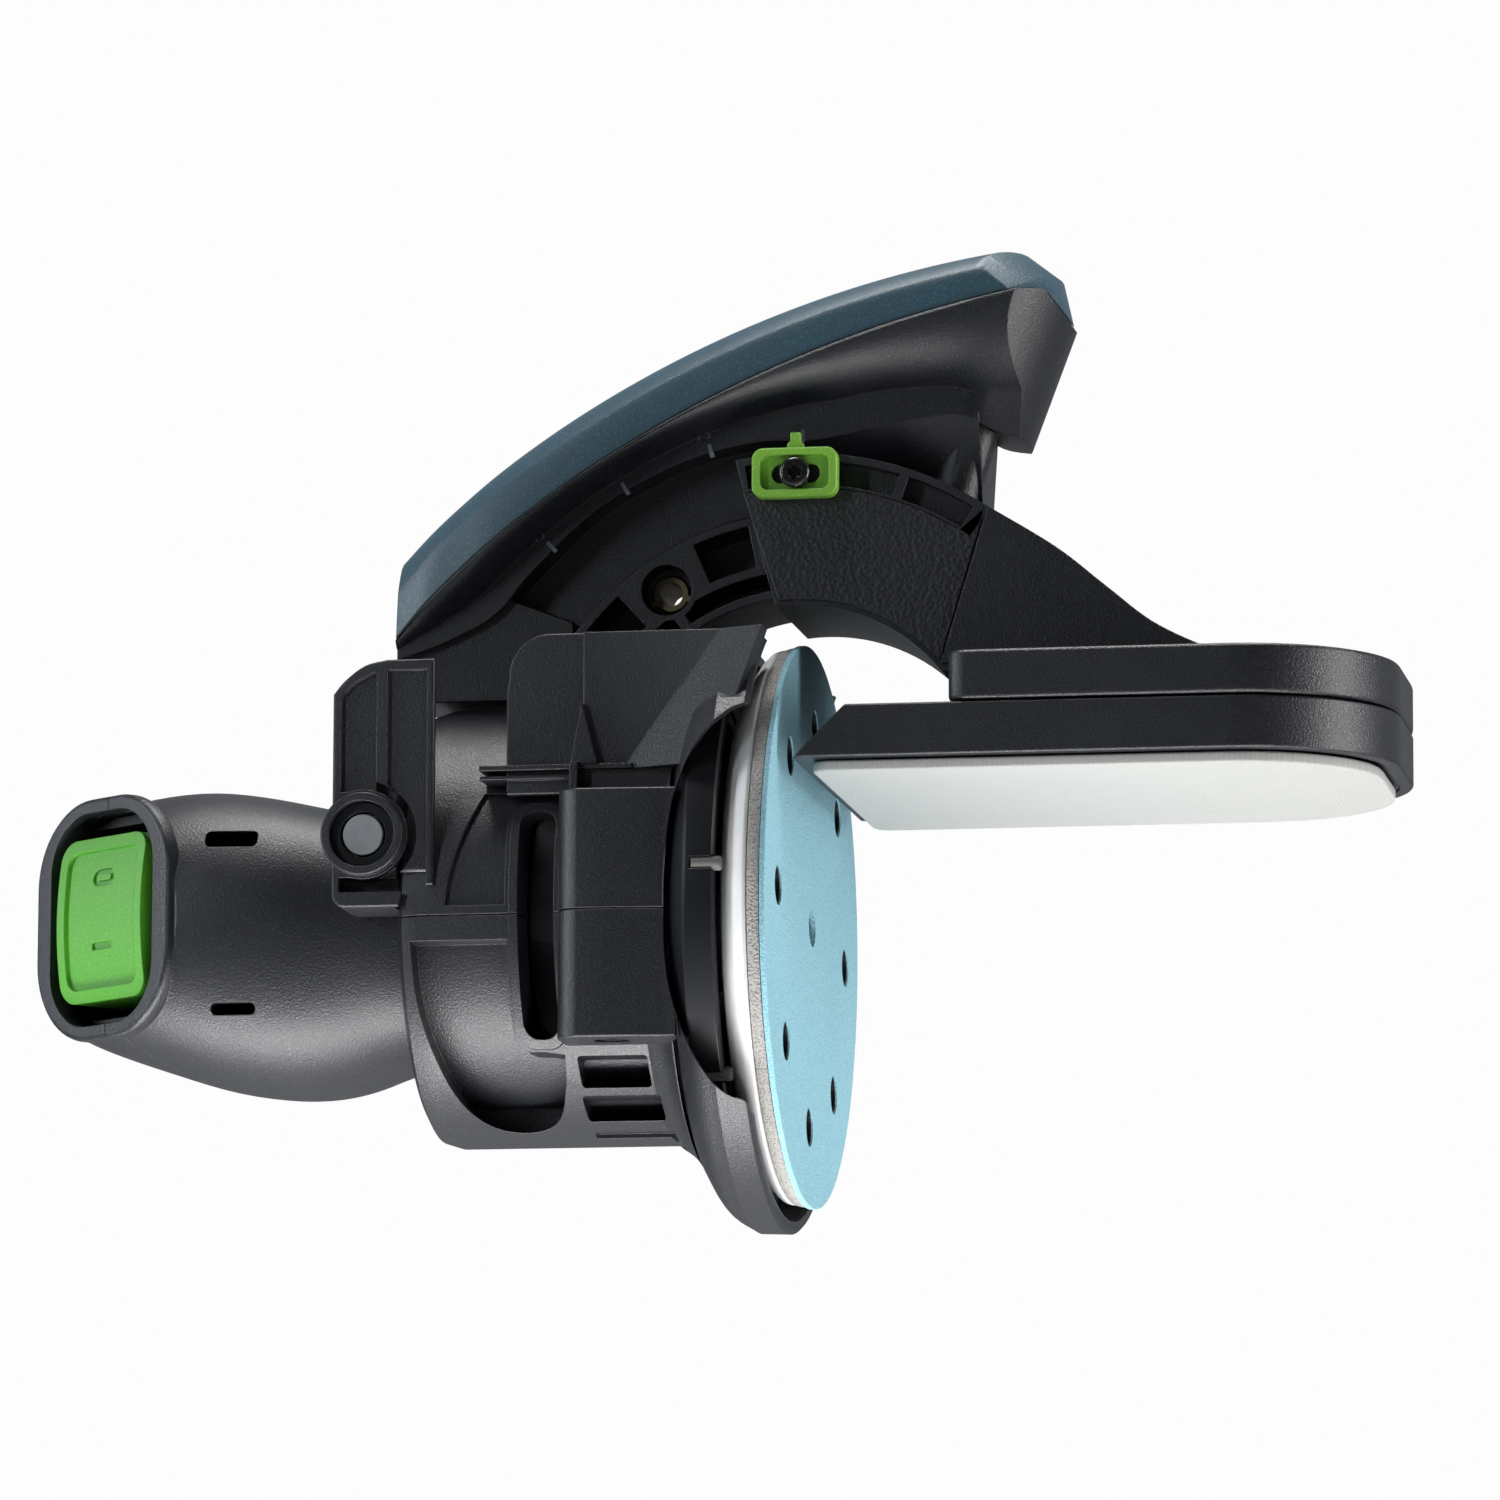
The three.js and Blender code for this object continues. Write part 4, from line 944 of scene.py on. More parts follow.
@dataclass(frozen=True)
class GuideFrame:
    """The two halves of the guide round the motor, with the flare over the pad."""

    ends: Span = (-84.0, -24.0)
    radius: float = 49.0
    inner: float = 40.0
    hood_r: float = 69.0
    hood_wall: float = 2.8
    hood_end: float = -5.0
    seam_z: float = -30.5
    top_z: float = 31.5
    slot: tuple[Span, Span] = ((-56.8, -48.8), (-57.0, -7.5))
    front_y: float = -48.0

    def body(self, z: float) -> Shape:
        """The turned wall with its flare."""
        left, right = self.ends
        hood_inner = self.hood_r - self.hood_wall
        flare = smooth([(right - 6, self.radius), (right, 54), (-17.8, 64.6), (-12, self.hood_r - 0.2)], 6)
        under = smooth([
            (-33, self.inner), (right - 4.6, 46), (right - 1, 51.8), (-19.5, 61.2), (-13, hood_inner),
        ], 4)
        outer = Shape.turned([
            (left, 0), (left, self.radius - 3.5), (left + 1.2, self.radius - 1.2), (left + 5, self.radius),
            *flare,
            (self.hood_end - 0.8, self.hood_r), (self.hood_end, self.hood_r - 0.8), (self.hood_end, 0),
        ], z)
        hollow = Shape.turned([
            (left - 1, 0), (left - 1, 33.6), (left + 4, 33.6), (left + 4, self.inner), *under,
            (self.hood_end + 1, hood_inner), (self.hood_end + 1, 0),
        ], z)
        return outer.plus(*self.walls(), self.panel(), self.slot_rim(z), *self.ribs()).minus(hollow)

    def walls(self) -> list[Shape]:
        """The flat walls on both sides, stepped at the seam by the rib, and the facet by the flare."""
        outline = [
            (-8.5, -4), (-60, -4), (-60, 18), *arc(9, -90, 0, 6, (-50.5, self.top_z - 9)),
            (-2.6, self.top_z), (-8.5, 14),
        ]
        step = [(-42.8, self.top_z), (-42.8, -4), (-8.5, -4), (-8.5, 14), (-2.6, self.top_z)]
        y = self.front_y
        corner = [(-34, 1), (-12.5, self.top_z), (-2.6, self.top_z), (-8.5, 14), (-8.5, 1)]
        facet = Shape.prism(corner, Axis.Y, (y - 9, y + 3))
        lean = Vector((0.815, 2.1, -0.58)).normalized()
        facet.sliced(Vector((-31.7, y, 4.5)), -lean)
        return [
            Shape.prism(outline, Axis.Y, (y + 0.9, y + 3.5), 0.5),
            Shape.prism(step, Axis.Y, (y, y + 2), 0.3),
            facet,
            Shape.prism(outline, Axis.Y, (-y - 3.5, -y), 0.5),
        ]

    def panel(self) -> Shape:
        """The raised front panel with its strongly rounded left edge."""
        edge = [(x, -97.8 - y) for x, y in arc(6.5, -90, -12, 6, (-41.2, -48.9))]
        outline = [(-47.7, -40), *edge, (-36, -55.2), (-23.8, -54.2), (-21, -54.2), (-21, -40)]
        return Shape.prism(outline, Axis.Z, (-58.6, -4), 0.6)

    def slot_rim(self, z: float) -> Shape:
        """A thin raised border round the slot, following the wall."""
        (x0, x1), (z0, z1) = self.slot
        border = Shape.prism(rounded((x0 - 2, x1 + 1.6), (z0 - 2, z1 + 2), 4.5, 10), Axis.Y, (-60, -30))
        return border.common(Shape.rod(Axis.X, self.radius + 0.8, (-62, -44), (0, z), 96))

    def ribs(self) -> list[Shape]:
        """The level rib, the upright spike and the small bracket behind it."""
        return [
            Shape.block((-65.5, -31.6), (-49.6, -36), (1.0, 2.1)),
            Shape.block((-65.5, -42.8), (-48.9, -36), (-0.9, -0.1)),
            Shape.prism([(-45.2, 2), (-42.8, 15.6), (-39, 2)], Axis.Y, (-50.2, -40), 0.3),
            Shape.prism([(-45.2, 2.4), (-45.2, -5), (-43.2, -5), (-43.2, 2.4)], Axis.Y, (-51.4, -40), 0.3),
        ]

    def window(self) -> Shape:
        """The opening in the flare, through which the brake ring shows."""
        edge = smooth([
            (-6, 13.6), (-9.3, 12), (-14.7, 6.6), (-19.6, -1), (-22.6, -12), (-23.6, -30), (-22.9, -45),
            (-19.6, -57), (-15.5, -65), (-12, -69.5), (-9, -71.6), (-6.2, -72.6), (-4.6, -76),
        ], 5)
        return Shape.prism([(4, 13.6), *edge, (4, -76)], Axis.Y, (-90, -30))

    def scoop(self, z: float) -> Shape:
        """The finger recess in the lower half."""
        outline = [
            (-59.4, -36), (-81, -36),
            *smooth([
                (-80.9, -38), (-80.2, -49), (-77.6, -60), (-73.8, -69), (-68, -73.4), (-59.5, -74.2),
                (-52.8, -72), (-49.6, -66), (-48.6, -60),
            ], 4),
            (-53, -59.4), *arc(4, 180, 270, 12, (-55.4, -55.4)),
        ]
        floor = Shape.rod(Axis.X, self.inner + 2.2, (-90, -40), (0, z), 128)
        return Shape.prism(outline, Axis.Y, (-60, -8)).minus(floor)

    def recesses(self, z: float) -> list[Shape]:
        """The sunk panel left of the slot, the stepped pocket and the small bottom slots."""
        edge = smooth([(-65.5, -3), (-69.4, -12), (-72, -21), (-73, -28.4)], 4)
        shade = Shape.prism([(-59.8, -28.4), (-59.8, -3), (-65, -3), *edge], Axis.Y, (-60, -20))
        deep = self.radius - 0.9
        rooms = [shade.minus(Shape.rod(Axis.X, deep, (-90, -40), (0, z), 128))]
        pockets = (
            ((-46, -30.5), (-66.5, -60.3), 5),
            ((-46.6, -29), (-72.6, -68), 4),
            ((-46.6, -28), (-77, -74.2), 3),
        )
        for x, span, sunk in pockets:
            room = Shape.prism(rounded(x, span, 0.8), Axis.Y, (-60, -8))
            rooms.append(room.minus(Shape.rod(Axis.X, self.radius - sunk, (-60, -20), (0, z), 96)))
        for x in ((-48, -40), (-38, -27)):
            wall = Shape.rod(Axis.X, 60, (-60, -20), (0, z), 64)
            wall = wall.minus(Shape.rod(Axis.X, 46.6, (-61, -19), (0, z), 96))
            room = Shape.block(x, (-60, 0), (-84, -74.8)).common(wall)
            rooms.append(room.minus(Shape.block((-60, 0), (-60, 0), (-76.4, -74))))
        return rooms

    def build(self, shop: Workshop) -> None:
        """Builds both halves and dresses their screws."""
        z = shop.spindle_z
        opening = Shape.prism(rounded(*self.slot, 3.4), Axis.Y, (-60, -20))
        port = shop.span("dust_port", 0)
        screws = []
        for node in ("frame_screw_1", "frame_screw_2", "frame_screw_3"):
            x, y = (sum(shop.span(node, axis)) / 2 for axis in (0, 1))
            screws += [
                Shape.rod(Axis.Z, SCREW_HEAD_R, (-90, -56.3 if y < 0 else -42.3), (x, y), 32),
                Shape.rod(Axis.Z, SCREW_BORE_R, (-60, -31 if y < 0 else -17), (x, y), 24),
            ]
            shop.dress(node, "dark_steel")
        sweep = Shape.prism(sector((40.2, 90), -58, 95, 3), Axis.Y, (-24.5, 24.5))
        whole = self.body(z).minus(
            self.window(), opening, self.scoop(z), *self.recesses(z), sweep,
            Shape.rod(Axis.Y, 16.7, (30, 60), (sum(port) / 2, z), 64),
            Shape.block((-90, 5), (-90, 90), (self.top_z, 80)), *screws,
        )
        room = ((-120, 20), (-90, 90))
        upper = whole.common(Shape.block(*room, (self.seam_z + 0.15, 90)))
        lower = whole.common(Shape.block(*room, (-120, self.seam_z - 0.15)))
        shop.add(upper, "frame_upper", "black", Body.GUIDE, ["guide_frame_upper"], "black_plastic")
        shop.add(lower, "frame_lower", "black", Body.GUIDE, ["guide_frame_lower"], "black_plastic")


@dataclass(frozen=True)
class ClampBlock:
    """The block beside the frame, with its bush and turned pin."""

    x: Span = (-98.2, -75.5)
    z: Span = (-28.5, 26.2)
    y: Span = (-50.0, -34.0)
    boss: Point = (-91.3, -12.4)
    boss_r: float = 9.2
    bore: float = 7.3
    pin_r: float = 4.6

    def build(self, shop: Workshop) -> None:
        """Builds the block, the bush and the pin."""
        (x0, x1), (z0, z1), (y0, y1) = self.x, self.z, self.y
        outline = [
            (x1, z0 + 4.6), (x0 + 16, z0 + 4.6), (x0 + 15, z0), (x0 + 3, z0),
            *arc(3, 180, 270, 15, (x0 + 3, z0 + 3)),
            *smooth([(x0, z1 - 7.5), (x0 + 2.6, z1 - 4.4), (x0 + 7, z1 - 1.2), (x0 + 12, z1)], 4), (x1, z1),
        ]
        at = self.boss
        around = Shape.rod(Axis.Y, self.boss_r + 0.7, (y0 - 4, y1), at)
        sunk = (y0 - 1, y0 + 1.1)
        left = Shape.prism([
            (x0 + 1.9, -3), (x0 + 1.9, 17.6),
            *smooth([(x0 + 2.2, 18.6), (x0 + 5, 21.3), (x0 + 9.2, 23.4)], 3),
            (x0 + 9.8, 23), (x0 + 9.8, -3),
        ], Axis.Y, sunk).minus(around)
        right = Shape.prism([
            (x0 + 12.2, z1 - 2.4), (x1 - 1.6, z1 - 2.4), (x1 - 1.6, -22.8), (x0 + 12.2, -22.8),
            (x0 + 16.5, -16), (x0 + 17.4, -10), (x0 + 16, -5), (x0 + 12.2, -1.2),
        ], Axis.Y, sunk).minus(around)
        groove = Shape.rod(Axis.Y, self.boss_r + 2.6, (y0 - 1, y0 + 3), at).minus(around).common(
            Shape.block((at[0] + 3, 0), (-60, -30), (-23, 0)),
        )
        under = Shape.block((x0 + 1.6, x1 - 1.6), (y0 - 1, y0 + 6), (z0 + 3.4, z0 + 6.6)).minus(around)
        ring = Shape.rod(Axis.Y, self.boss_r, (y0 - 1.6, y1), at)
        ring.bevel([e for e in ring.bm.edges if all(v.co.y < y0 - 1 for v in e.verts)], 0.5)
        bar = Shape.rod(Axis.X, 1.6, (x0 + 2, x0 + 14.6), (y0 + 1.8, z0 + 1.7), 24)
        hollow = (
            Shape.rod(Axis.Y, self.bore, (y0 - 5, y1 + 5), at),
            Shape.rod(Axis.X, 49.3, (-84.3, -60), (0, shop.spindle_z), 128),
            Shape.block((-84.3, -60), (-48.4, -30), (-30, 40)),
        )
        block = Shape.prism(outline, Axis.Y, self.y, 0.7).minus(left, right, groove, under).plus(ring, bar)
        shop.add(block.minus(*hollow), "clamp_body", "black", Body.GUIDE, ["clamp_block"], "black_plastic")
        tube = Shape.rod(Axis.Y, self.bore - 0.3, (y0 + 0.6, y1), at)
        tube = tube.minus(Shape.rod(Axis.Y, 5, (y0 - 1, y1 + 1), at))
        shop.add(tube, "bush", "black_smooth", Body.GUIDE, ["clamp_bush"], "smooth_black_plastic")
        pin = Shape.rod(Axis.Y, self.pin_r, (y0 + 0.4, y1 + 1.5), at)
        pin.bevel([e for e in pin.bm.edges if len({round(v.co.y) for v in e.verts}) == 1], 0.4)
        shop.add(pin, "pin", "pin_steel", Body.GUIDE, ["clamp_pin"], "bright_steel")


@dataclass(frozen=True)
class ArcRail:
    """The ribbed arc between the cheeks of the sector."""

    radii: Span = (43.9, 63.3)
    mid: float = 50.8
    rib: float = 2.0
    half: float = 15.0
    boss: Point = (-30.5, 46.2)

    def build(self, shop: Workshop) -> None:
        """Builds the rail and its threaded insert."""
        r0, r1 = self.radii
        outer, inner = (self.mid + self.rib / 2, r1 - self.rib), (r0 + self.rib, self.mid - self.rib / 2)
        stretches = (
            (outer, -64, -42.6), (outer, -23.6, -11.4), (outer, -9.4, 3), (inner, -58, -36), (inner, -33, 3),
        )
        pockets = [
            Shape.prism(sector(radii, start, end), Axis.Y, depth)
            for radii, start, end in stretches
            for depth in ((-self.half - 1, -2), (2, self.half + 1))
        ]
        span = (-self.half, self.half)
        outline = sector(self.radii, -66, 5.5)
        rail = Shape.prism(outline, Axis.Y, span, 0.4)
        boss = Shape.rod(Axis.Y, 7, span, self.boss).common(Shape.prism(outline, Axis.Y, span))
        body = rail.minus(*pockets).plus(boss).minus(
            Shape.rod(Axis.Y, 5.7, (-self.half - 1, -8), self.boss),
            Shape.rod(Axis.Y, 4.4, (-16, 16), self.boss),
            Shape.block((-90, 20), (-30, 30), (-10, 22.4)),
        )
        shop.add(body, "rail", "black", Body.GUIDE, ["arc_rail"], "black_plastic")
        insert = Shape.rod(Axis.Y, 4, (-7.7, 9), self.boss)
        for angle in (15.0, 150.0):
            tab = Shape.block((3.2, 5.2), (-9.4, -7.9), (-0.7, 0.7))
            tab.moved(Matrix.Rotation(math.radians(angle), 4, "Y")).shifted(self.boss[0], 0, self.boss[1])
            insert = insert.plus(tab.plus(Shape.rod(Axis.Y, 3.9, (-9.4, -7.5), self.boss, 32)))
        insert = insert.minus(Shape.rod(Axis.Y, 2.7, (-11, 11), self.boss, 32))
        shop.add(insert, "insert", "brass", Body.GUIDE, ["rail_insert"], "dark_brass")


@dataclass(frozen=True)
class PalmHandle:
    """The black base with the angle scale, and the petrol cap over it."""

    edge_r: float = 79.7
    edge_half: float = 15.0
    clear_r: float = 75.6  # clears the shoe's sector
    raised: float = 37.0  # height over x of the shoe's top face when the angle is 45 degrees
    channel: float = 15.4  # half width that fits the channel in the shoe's top
    rail_r: float = 63.3
    stud_r: float = 70.0
    nose_x: float = 59.6
    top: float = 122.0
    lip: float = 0.55
    # Share of the cap's height, and of its half width there.
    crown: tuple[Point, ...] = (
        (0, 1), (0.14, 0.998), (0.28, 0.993), (0.42, 0.985), (0.53, 0.972), (0.58, 0.955), (0.66, 0.915),
        (0.76, 0.855), (0.85, 0.775), (0.91, 0.68), (0.955, 0.53), (0.985, 0.32), (0.997, 0.12),
    )
    base_nose: tuple[Point, Point] = ((49.6, 80.0), (58.6, 104.0))
    cap_noses: tuple[tuple[Point, Point], ...] = (
        ((59.2, 104.0), (55.8, 119.0)), ((57.2, 115.5), (47.0, 123.4)),
    )
    nose_r: float = 34.0

    def stations(self) -> list[tuple[float, ...]]:
        """Rows of lower edge x and z, parting x, straight height and half width, from tail to nose."""
        def on_edge(angle: float) -> Point:
            """A point of the lower edge at an angle from straight up."""
            return self.edge_r * math.sin(math.radians(angle)), self.edge_r * math.cos(math.radians(angle))

        return smooth([
            (-91.5, 32, -91.5, 3, 17), (-80, 36, -84, 7, 21), (-69, 42, -76, 8, 23),
            (*on_edge(-50), -68, 9, 24.5), (*on_edge(-35), -52, 9, 25), (*on_edge(-20), -33, 9, 25),
            (*on_edge(-8), -16, 9, 25),
            (3.5, 79.2, 3, 8.5, 25), (19, 82.0, 19.5, 8, 25), (34, 84.2, 34.5, 6, 25), (43, 80.5, 48, 7, 25),
            (54, 78, 66, 16, 25),
        ])

    def nose(self, line: tuple[Point, Point]) -> Shape:
        """What the front end is cut to: rounded in plan, with this line as the middle of its face."""
        low, high = Vector(line[0]), Vector(line[1])
        along = (high - low).normalized()
        middle = low - Vector((along.y, -along.x)) * self.nose_r
        rod = Shape.rod(Axis.Z, self.nose_r, (-90, 90), (0, 0), 160)
        turn = Matrix.Rotation(math.atan2(along.x, along.y), 4, "Y")
        behind = Shape.block((-120, 20), (-40, 40), (0, 140))
        return rod.moved(Matrix.Translation((middle.x, 0, middle.y)) @ turn).plus(behind)

    def parting(self, x: float) -> float:
        """Height of the line between base and cap."""
        return min(circle_height((-90, 38), (-12, 91), (54, 111))(x), 104 + (self.nose_x - x) * 2.2)

    def base_ring(self, row: Sequence[float]) -> list[Triple]:
        """One section of the base."""
        ex, ez, px, straight, half = row
        top = self.parting(px) - 0.15
        start = min(straight / math.hypot(px - ex, top - ez), 0.5)
        edge = min(self.edge_half, half - 1)
        side = [[ex, edge - max(0.0, ex - 38) * 0.55, ez]]
        for q in [i / 11 for i in range(12)] + [1.0]:
            t = mix(start, 1, q)
            side.append([mix(ex, px, t), edge + (half - edge) * (1 - (1 - q) ** 2.2), mix(ez, top, t)])
        side[-2][2] -= 0.7
        side[-1][1] -= 0.35
        return [tuple(p) for p in side] + [(x, -y, z) for x, y, z in reversed(side)]

    def cap_ring(self, row: Sequence[float]) -> list[Triple]:
        """One section of the cap, crowned and leaning back at the nose."""
        px, half = row[2], row[4] - self.lip
        tx = px + 0.5
        low = self.parting(px) + 0.15
        high = min(circle_height((-90, 56.8), (-17, 104.2), (51, 121.8))(min(tx, 55)), self.top)
        side = []
        for t, w in self.crown:
            side.append((mix(px, tx, t), half * w, mix(low, high, t)))
        return side + [(x, -y, z) for x, y, z in reversed(side)]

    def marks(self, y: Span) -> list[Shape]:
        """Ticks and degree numbers of the angle scale, between two depths of y."""
        made = []
        for angle, text in ((-45, "45°"), (-30, "60°"), (-15, "75°"), (0, "")):
            tick = Shape.block((-0.45, 0.45), y, (self.edge_r - 1, self.edge_r + 2))
            shapes = [tick]
            if text:
                letters = Shape.lettering(text, 3.6, (y[1] - y[0]) / 2)
                shapes.append(letters.shifted(0, (y[0] + y[1]) / 2, self.edge_r + 4.3))
            made += [shape.moved(Matrix.Rotation(math.radians(angle), 4, "Y")) for shape in shapes]
        return made

    def build(self, shop: Workshop) -> None:
        """Builds the base and the cap and dresses their screws."""
        rows = self.stations()
        web = Shape.prism(sector((self.rail_r + 0.3, self.edge_r + 4), -64, 6.5), Axis.Y, (-6, 6)).minus(
            Shape.prism(sector((self.stud_r - 2.9, self.stud_r + 2.9), -49, 4.5), Axis.Y, (1.5, 7)),
            Shape.prism(sector((self.stud_r - 4.7, self.stud_r + 4.7), -51, 8), Axis.Y, (-4, 2)),
        )
        neck = Shape.prism(
            [(-91.5, 24), (-84, 22.4), (-50, 22.4), (-52, 40), (-68, 46), (-91.5, 36)],
            Axis.Y, (-13, 13), 0.5,
        ).minus(Shape.rod(Axis.Y, self.rail_r + 0.3, (-20, 20), (0, 0), 160))
        holes = []
        for node in ("handle_screw_1", "handle_screw_2", "handle_screw_3"):
            (x0, x1), (y0, y1), (z0, z1) = (shop.span(node, axis) for axis in range(3))
            at = ((x0 + x1) / 2, (z0 + z1) / 2)
            holes += [
                Shape.rod(Axis.Y, SCREW_HEAD_R, (y1 - 2.5, y1 + 8), at, 32),
                Shape.rod(Axis.Y, SCREW_BORE_R, (y0 - 1, y1), at, 24),
            ]
            shop.dress(node, "dark_steel")
        rings = []
        for i in range(17):
            x = mix(1.0, 39.5, i / 16)
            top = min(78.8 + x * 0.16, 84.4) - max(0.0, x - 36) * 0.6
            low = min(math.sqrt(self.clear_r**2 - x * x), top - 0.4)
            near = mix(14.6, 8.0, min((top - low) / 9, 1))
            half = [(x, near, low), (x, 14.8, top), (x, 14.8, top + 2)]
            rings.append(half + [(x, -y, z) for _, y, z in reversed(half)])
        shin = Shape.loft(rings)
        column = Shape.rod(Axis.Z, 5.4, (-11, 14), (0, 0), 48).moved(
            Matrix.Translation((35.6, -6.6, 75)) @ Matrix.Rotation(math.radians(16), 4, "Y"),
        )
        column = column.minus(Shape.rod(Axis.Y, self.clear_r, (-30, 30), (0, 0), 120))
        loft = Shape.loft([self.base_ring(row) for row in rows]).common(self.nose(self.base_nose))
        below = [(36, 36 + self.raised), (75, 75 + self.raised), (75, 60), (36, 60)]
        base = loft.plus(shin, column, web, neck).minus(
            *holes, *self.marks((-self.edge_half - 1, 1.1 - self.edge_half)),
            Shape.prism(below, Axis.Y, (-40, -self.channel)), Shape.prism(below, Axis.Y, (self.channel, 40)),
        )
        shop.add(base, "handle_body", "black", Body.GUIDE, ["handle_base"], "black_plastic")
        for index, mark in enumerate(self.marks((0.3 - self.edge_half, 1.1 - self.edge_half))):
            shop.add(mark, f"scale_mark_{index}", "print", Body.GUIDE, slot="black_plastic")
        noses = [self.nose(line) for line in self.cap_noses]
        cap = Shape.loft([self.cap_ring(row) for row in rows]).common(*noses)
        shop.add(cap, "palm_cap", "petrol", Body.GUIDE, ["handle_cap"], "petrol_plastic", 40)


@dataclass(frozen=True)
class Ports:
    """The dust port and the inlet of the mains lead, on the far side."""

    port_bore: float = 12.8
    inlet_bore: float = 9.4
    ribs: int = 12

    def build(self, shop: Workshop) -> None:
        """Builds both tubes."""
        z = shop.spindle_z
        x = sum(shop.span("dust_port", 0)) / 2
        low, high = shop.span("dust_port", 1)
        profile = [
            (low, self.port_bore), (low, 16), (high - 26, 16), (high - 26, 15.6), (high - 4.4, 15.1),
            (high - 4, 17), (high - 0.6, 17), (high, 16.4), (high, self.port_bore + 0.8),
            (high - 0.8, self.port_bore),
        ]
        to_y = Matrix.Rotation(math.pi / 2, 4, "Z")
        tube = Shape.turned(profile, 0, 72).moved(Matrix.Translation((x, 0, z)) @ to_y)
        for i in range(self.ribs):
            rib = Shape.block((-0.5, 0.5), (high - 40, high - 27), (15.4, 16.7))
            turn = Matrix.Rotation(FULL_TURN * i / self.ribs, 4, "Y")
            tube = tube.plus(rib.moved(Matrix.Translation((x, 0, z)) @ turn))
        shop.add(tube, "hose_port", "black", Body.GUIDE, ["dust_port"], "black_plastic")
        x, z = (sum(shop.span("cord_inlet", axis)) / 2 for axis in (0, 2))
        low, high = shop.span("cord_inlet", 1)
        socket = Shape.turned([
            (low, 0), (low, 12.5), (high - 1, 12.5), (high, 11.5), (high, self.inlet_bore + 0.6),
            (high - 0.6, self.inlet_bore), (high - 20, self.inlet_bore), (high - 20, 0),
        ], 0, 72).moved(Matrix.Translation((x, 0, z)) @ to_y)
        keys = [Shape.rod(Axis.Y, 1.2, (high - 21, high - 9), (x + u, z), 24) for u in (-4, 4)]
        inlet = socket.plus(*keys)
        shop.add(inlet, "lead_inlet", "black_smooth", Body.GUIDE, ["cord_inlet"], "smooth_black_plastic")


# ---- The orbiting pad ----


@dataclass(frozen=True)
class OrbitingPad:
    """Backing pad, foam and abrasive with their dust holes, and the brake ring round them."""

    disc_r: float = 62.5
    disc_t: float = 1.2
    foam_t: float = 2.6
    gap: float = 0.3
    hole_r: float = 4.4
    hole_circle: float = 45.0
    hole_count: int = 8
    hole_phase: float = 41.0
    brake_r: float = 60.6
    brake_edge: float = -11.6

    def hole_centres(self, z: float) -> list[Point]:
        """Where the dust holes stand, as y and z about a pad axis at height z."""
        angles = [math.radians(self.hole_phase + 360 / self.hole_count * i) for i in range(self.hole_count)]
        return [(-self.hole_circle * math.sin(a), z + self.hole_circle * math.cos(a)) for a in angles]

    def holes(self, z: float) -> list[Shape]:
        """Tools for the ring of dust holes."""
        return [Shape.rod(Axis.X, self.hole_r, (-30, 5), at, 40) for at in self.hole_centres(z)]

    def shade_sleeves(self, z: float) -> Shape:
        """Thin dark sleeves inside the dust holes, put there as painted shade."""
        made = []
        for at in self.hole_centres(z):
            tube = Shape.rod(Axis.X, self.hole_r - 0.05, (-11.0, -0.35), at, 40)
            made.append(tube.minus(Shape.rod(Axis.X, self.hole_r - 0.3, (-12, 1), at, 40)))
        return made[0].plus(*made[1:])

    def build(self, shop: Workshop) -> None:
        """Builds the pad's layers and the brake ring."""
        z, r = shop.pad_z, self.disc_r
        foam_x = -self.disc_t - self.gap
        back_x = foam_x - self.foam_t - self.gap
        pad = Shape.turned([
            (-32.6, 2.4), (-32.6, 5), (-23.2, 5), (-23.2, 9), (-19.4, 9), (-15.5, 18), (-11.2, 24),
            (-11.2, 53.5), (-10.6, 55), (back_x - 3, r - 2.6), (back_x - 1.6, r - 1.3), (back_x - 0.6, r - 1),
            (back_x, r - 1.4), (back_x, 2.4),
        ], z, 128)
        foam = Shape.turned([
            (foam_x - self.foam_t, 6), (foam_x - self.foam_t, r - 0.9), (foam_x - self.foam_t / 2, r - 0.5),
            (foam_x, r - 0.7), (foam_x, 6),
        ], z, 128)
        disc = Shape.turned([
            (-self.disc_t, self.hole_r), (-self.disc_t, r), (-0.15, r), (0, r - 0.15), (0, self.hole_r),
        ], z, 160)
        layers = (
            (pad, "pad_body", "pad_white", "backing_pad", "pad_polymer"),
            (foam, "foam_layer", "foam", "pad_foam", "interface_foam"),
            (disc, "disc", "abrasive", "abrasive_disc", "abrasive_film"),
        )
        for shape, name, finish, node, slot in layers:
            made = shop.add(shape.minus(*self.holes(z)), name, finish, Body.PAD, [node], slot)
            node == "pad_foam"
        # Painted shade: dark sleeves line the dust holes so they read dark deep inside.
        shop.add(self.shade_sleeves(z), "painted_shade_sleeves", "black_smooth", Body.PAD, slot="pad_polymer")
        self.brake(shop)
        shop.dress("pad_screw", "dark_steel")

    def brake(self, shop: Workshop) -> None:
        """The ring over the pad and its rubber pins."""
        edge, r = self.brake_edge, self.brake_r
        ring = Shape.turned([
            (-23, 50.4), (-23, 52.5), (-18.5, r - 0.4), (-17.6, r), (edge - 0.6, r), (edge, r - 0.6),
            (edge, r - 3), (-17, r - 3.4), (-19.8, 50.4),
        ], shop.spindle_z, 128)
        for index in range(1, 5):
            node = f"brake_pin_{index}"
            (y0, y1), (z0, z1), (x0, x1) = (shop.span(node, axis) for axis in (1, 2, 0))
            at = ((y0 + y1) / 2, (z0 + z1) / 2)
            ring = ring.minus(Shape.rod(Axis.X, 1.9, (-16.8, 0), at, 24))
            pin = Shape.rod(Axis.X, 1.6, (x0, x1), at, 28)
            pin.bevel([e for e in pin.bm.edges if all(v.co.x > x1 - 0.1 for v in e.verts)], 0.6)
            shop.add(pin, f"brake_stud_{index}", "rubber", Body.GUIDE, [node], "grey_rubber")
        shop.add(ring, "brake", "black_smooth", Body.GUIDE, ["brake_ring"], "black_plastic")


# ---- The shoe ----


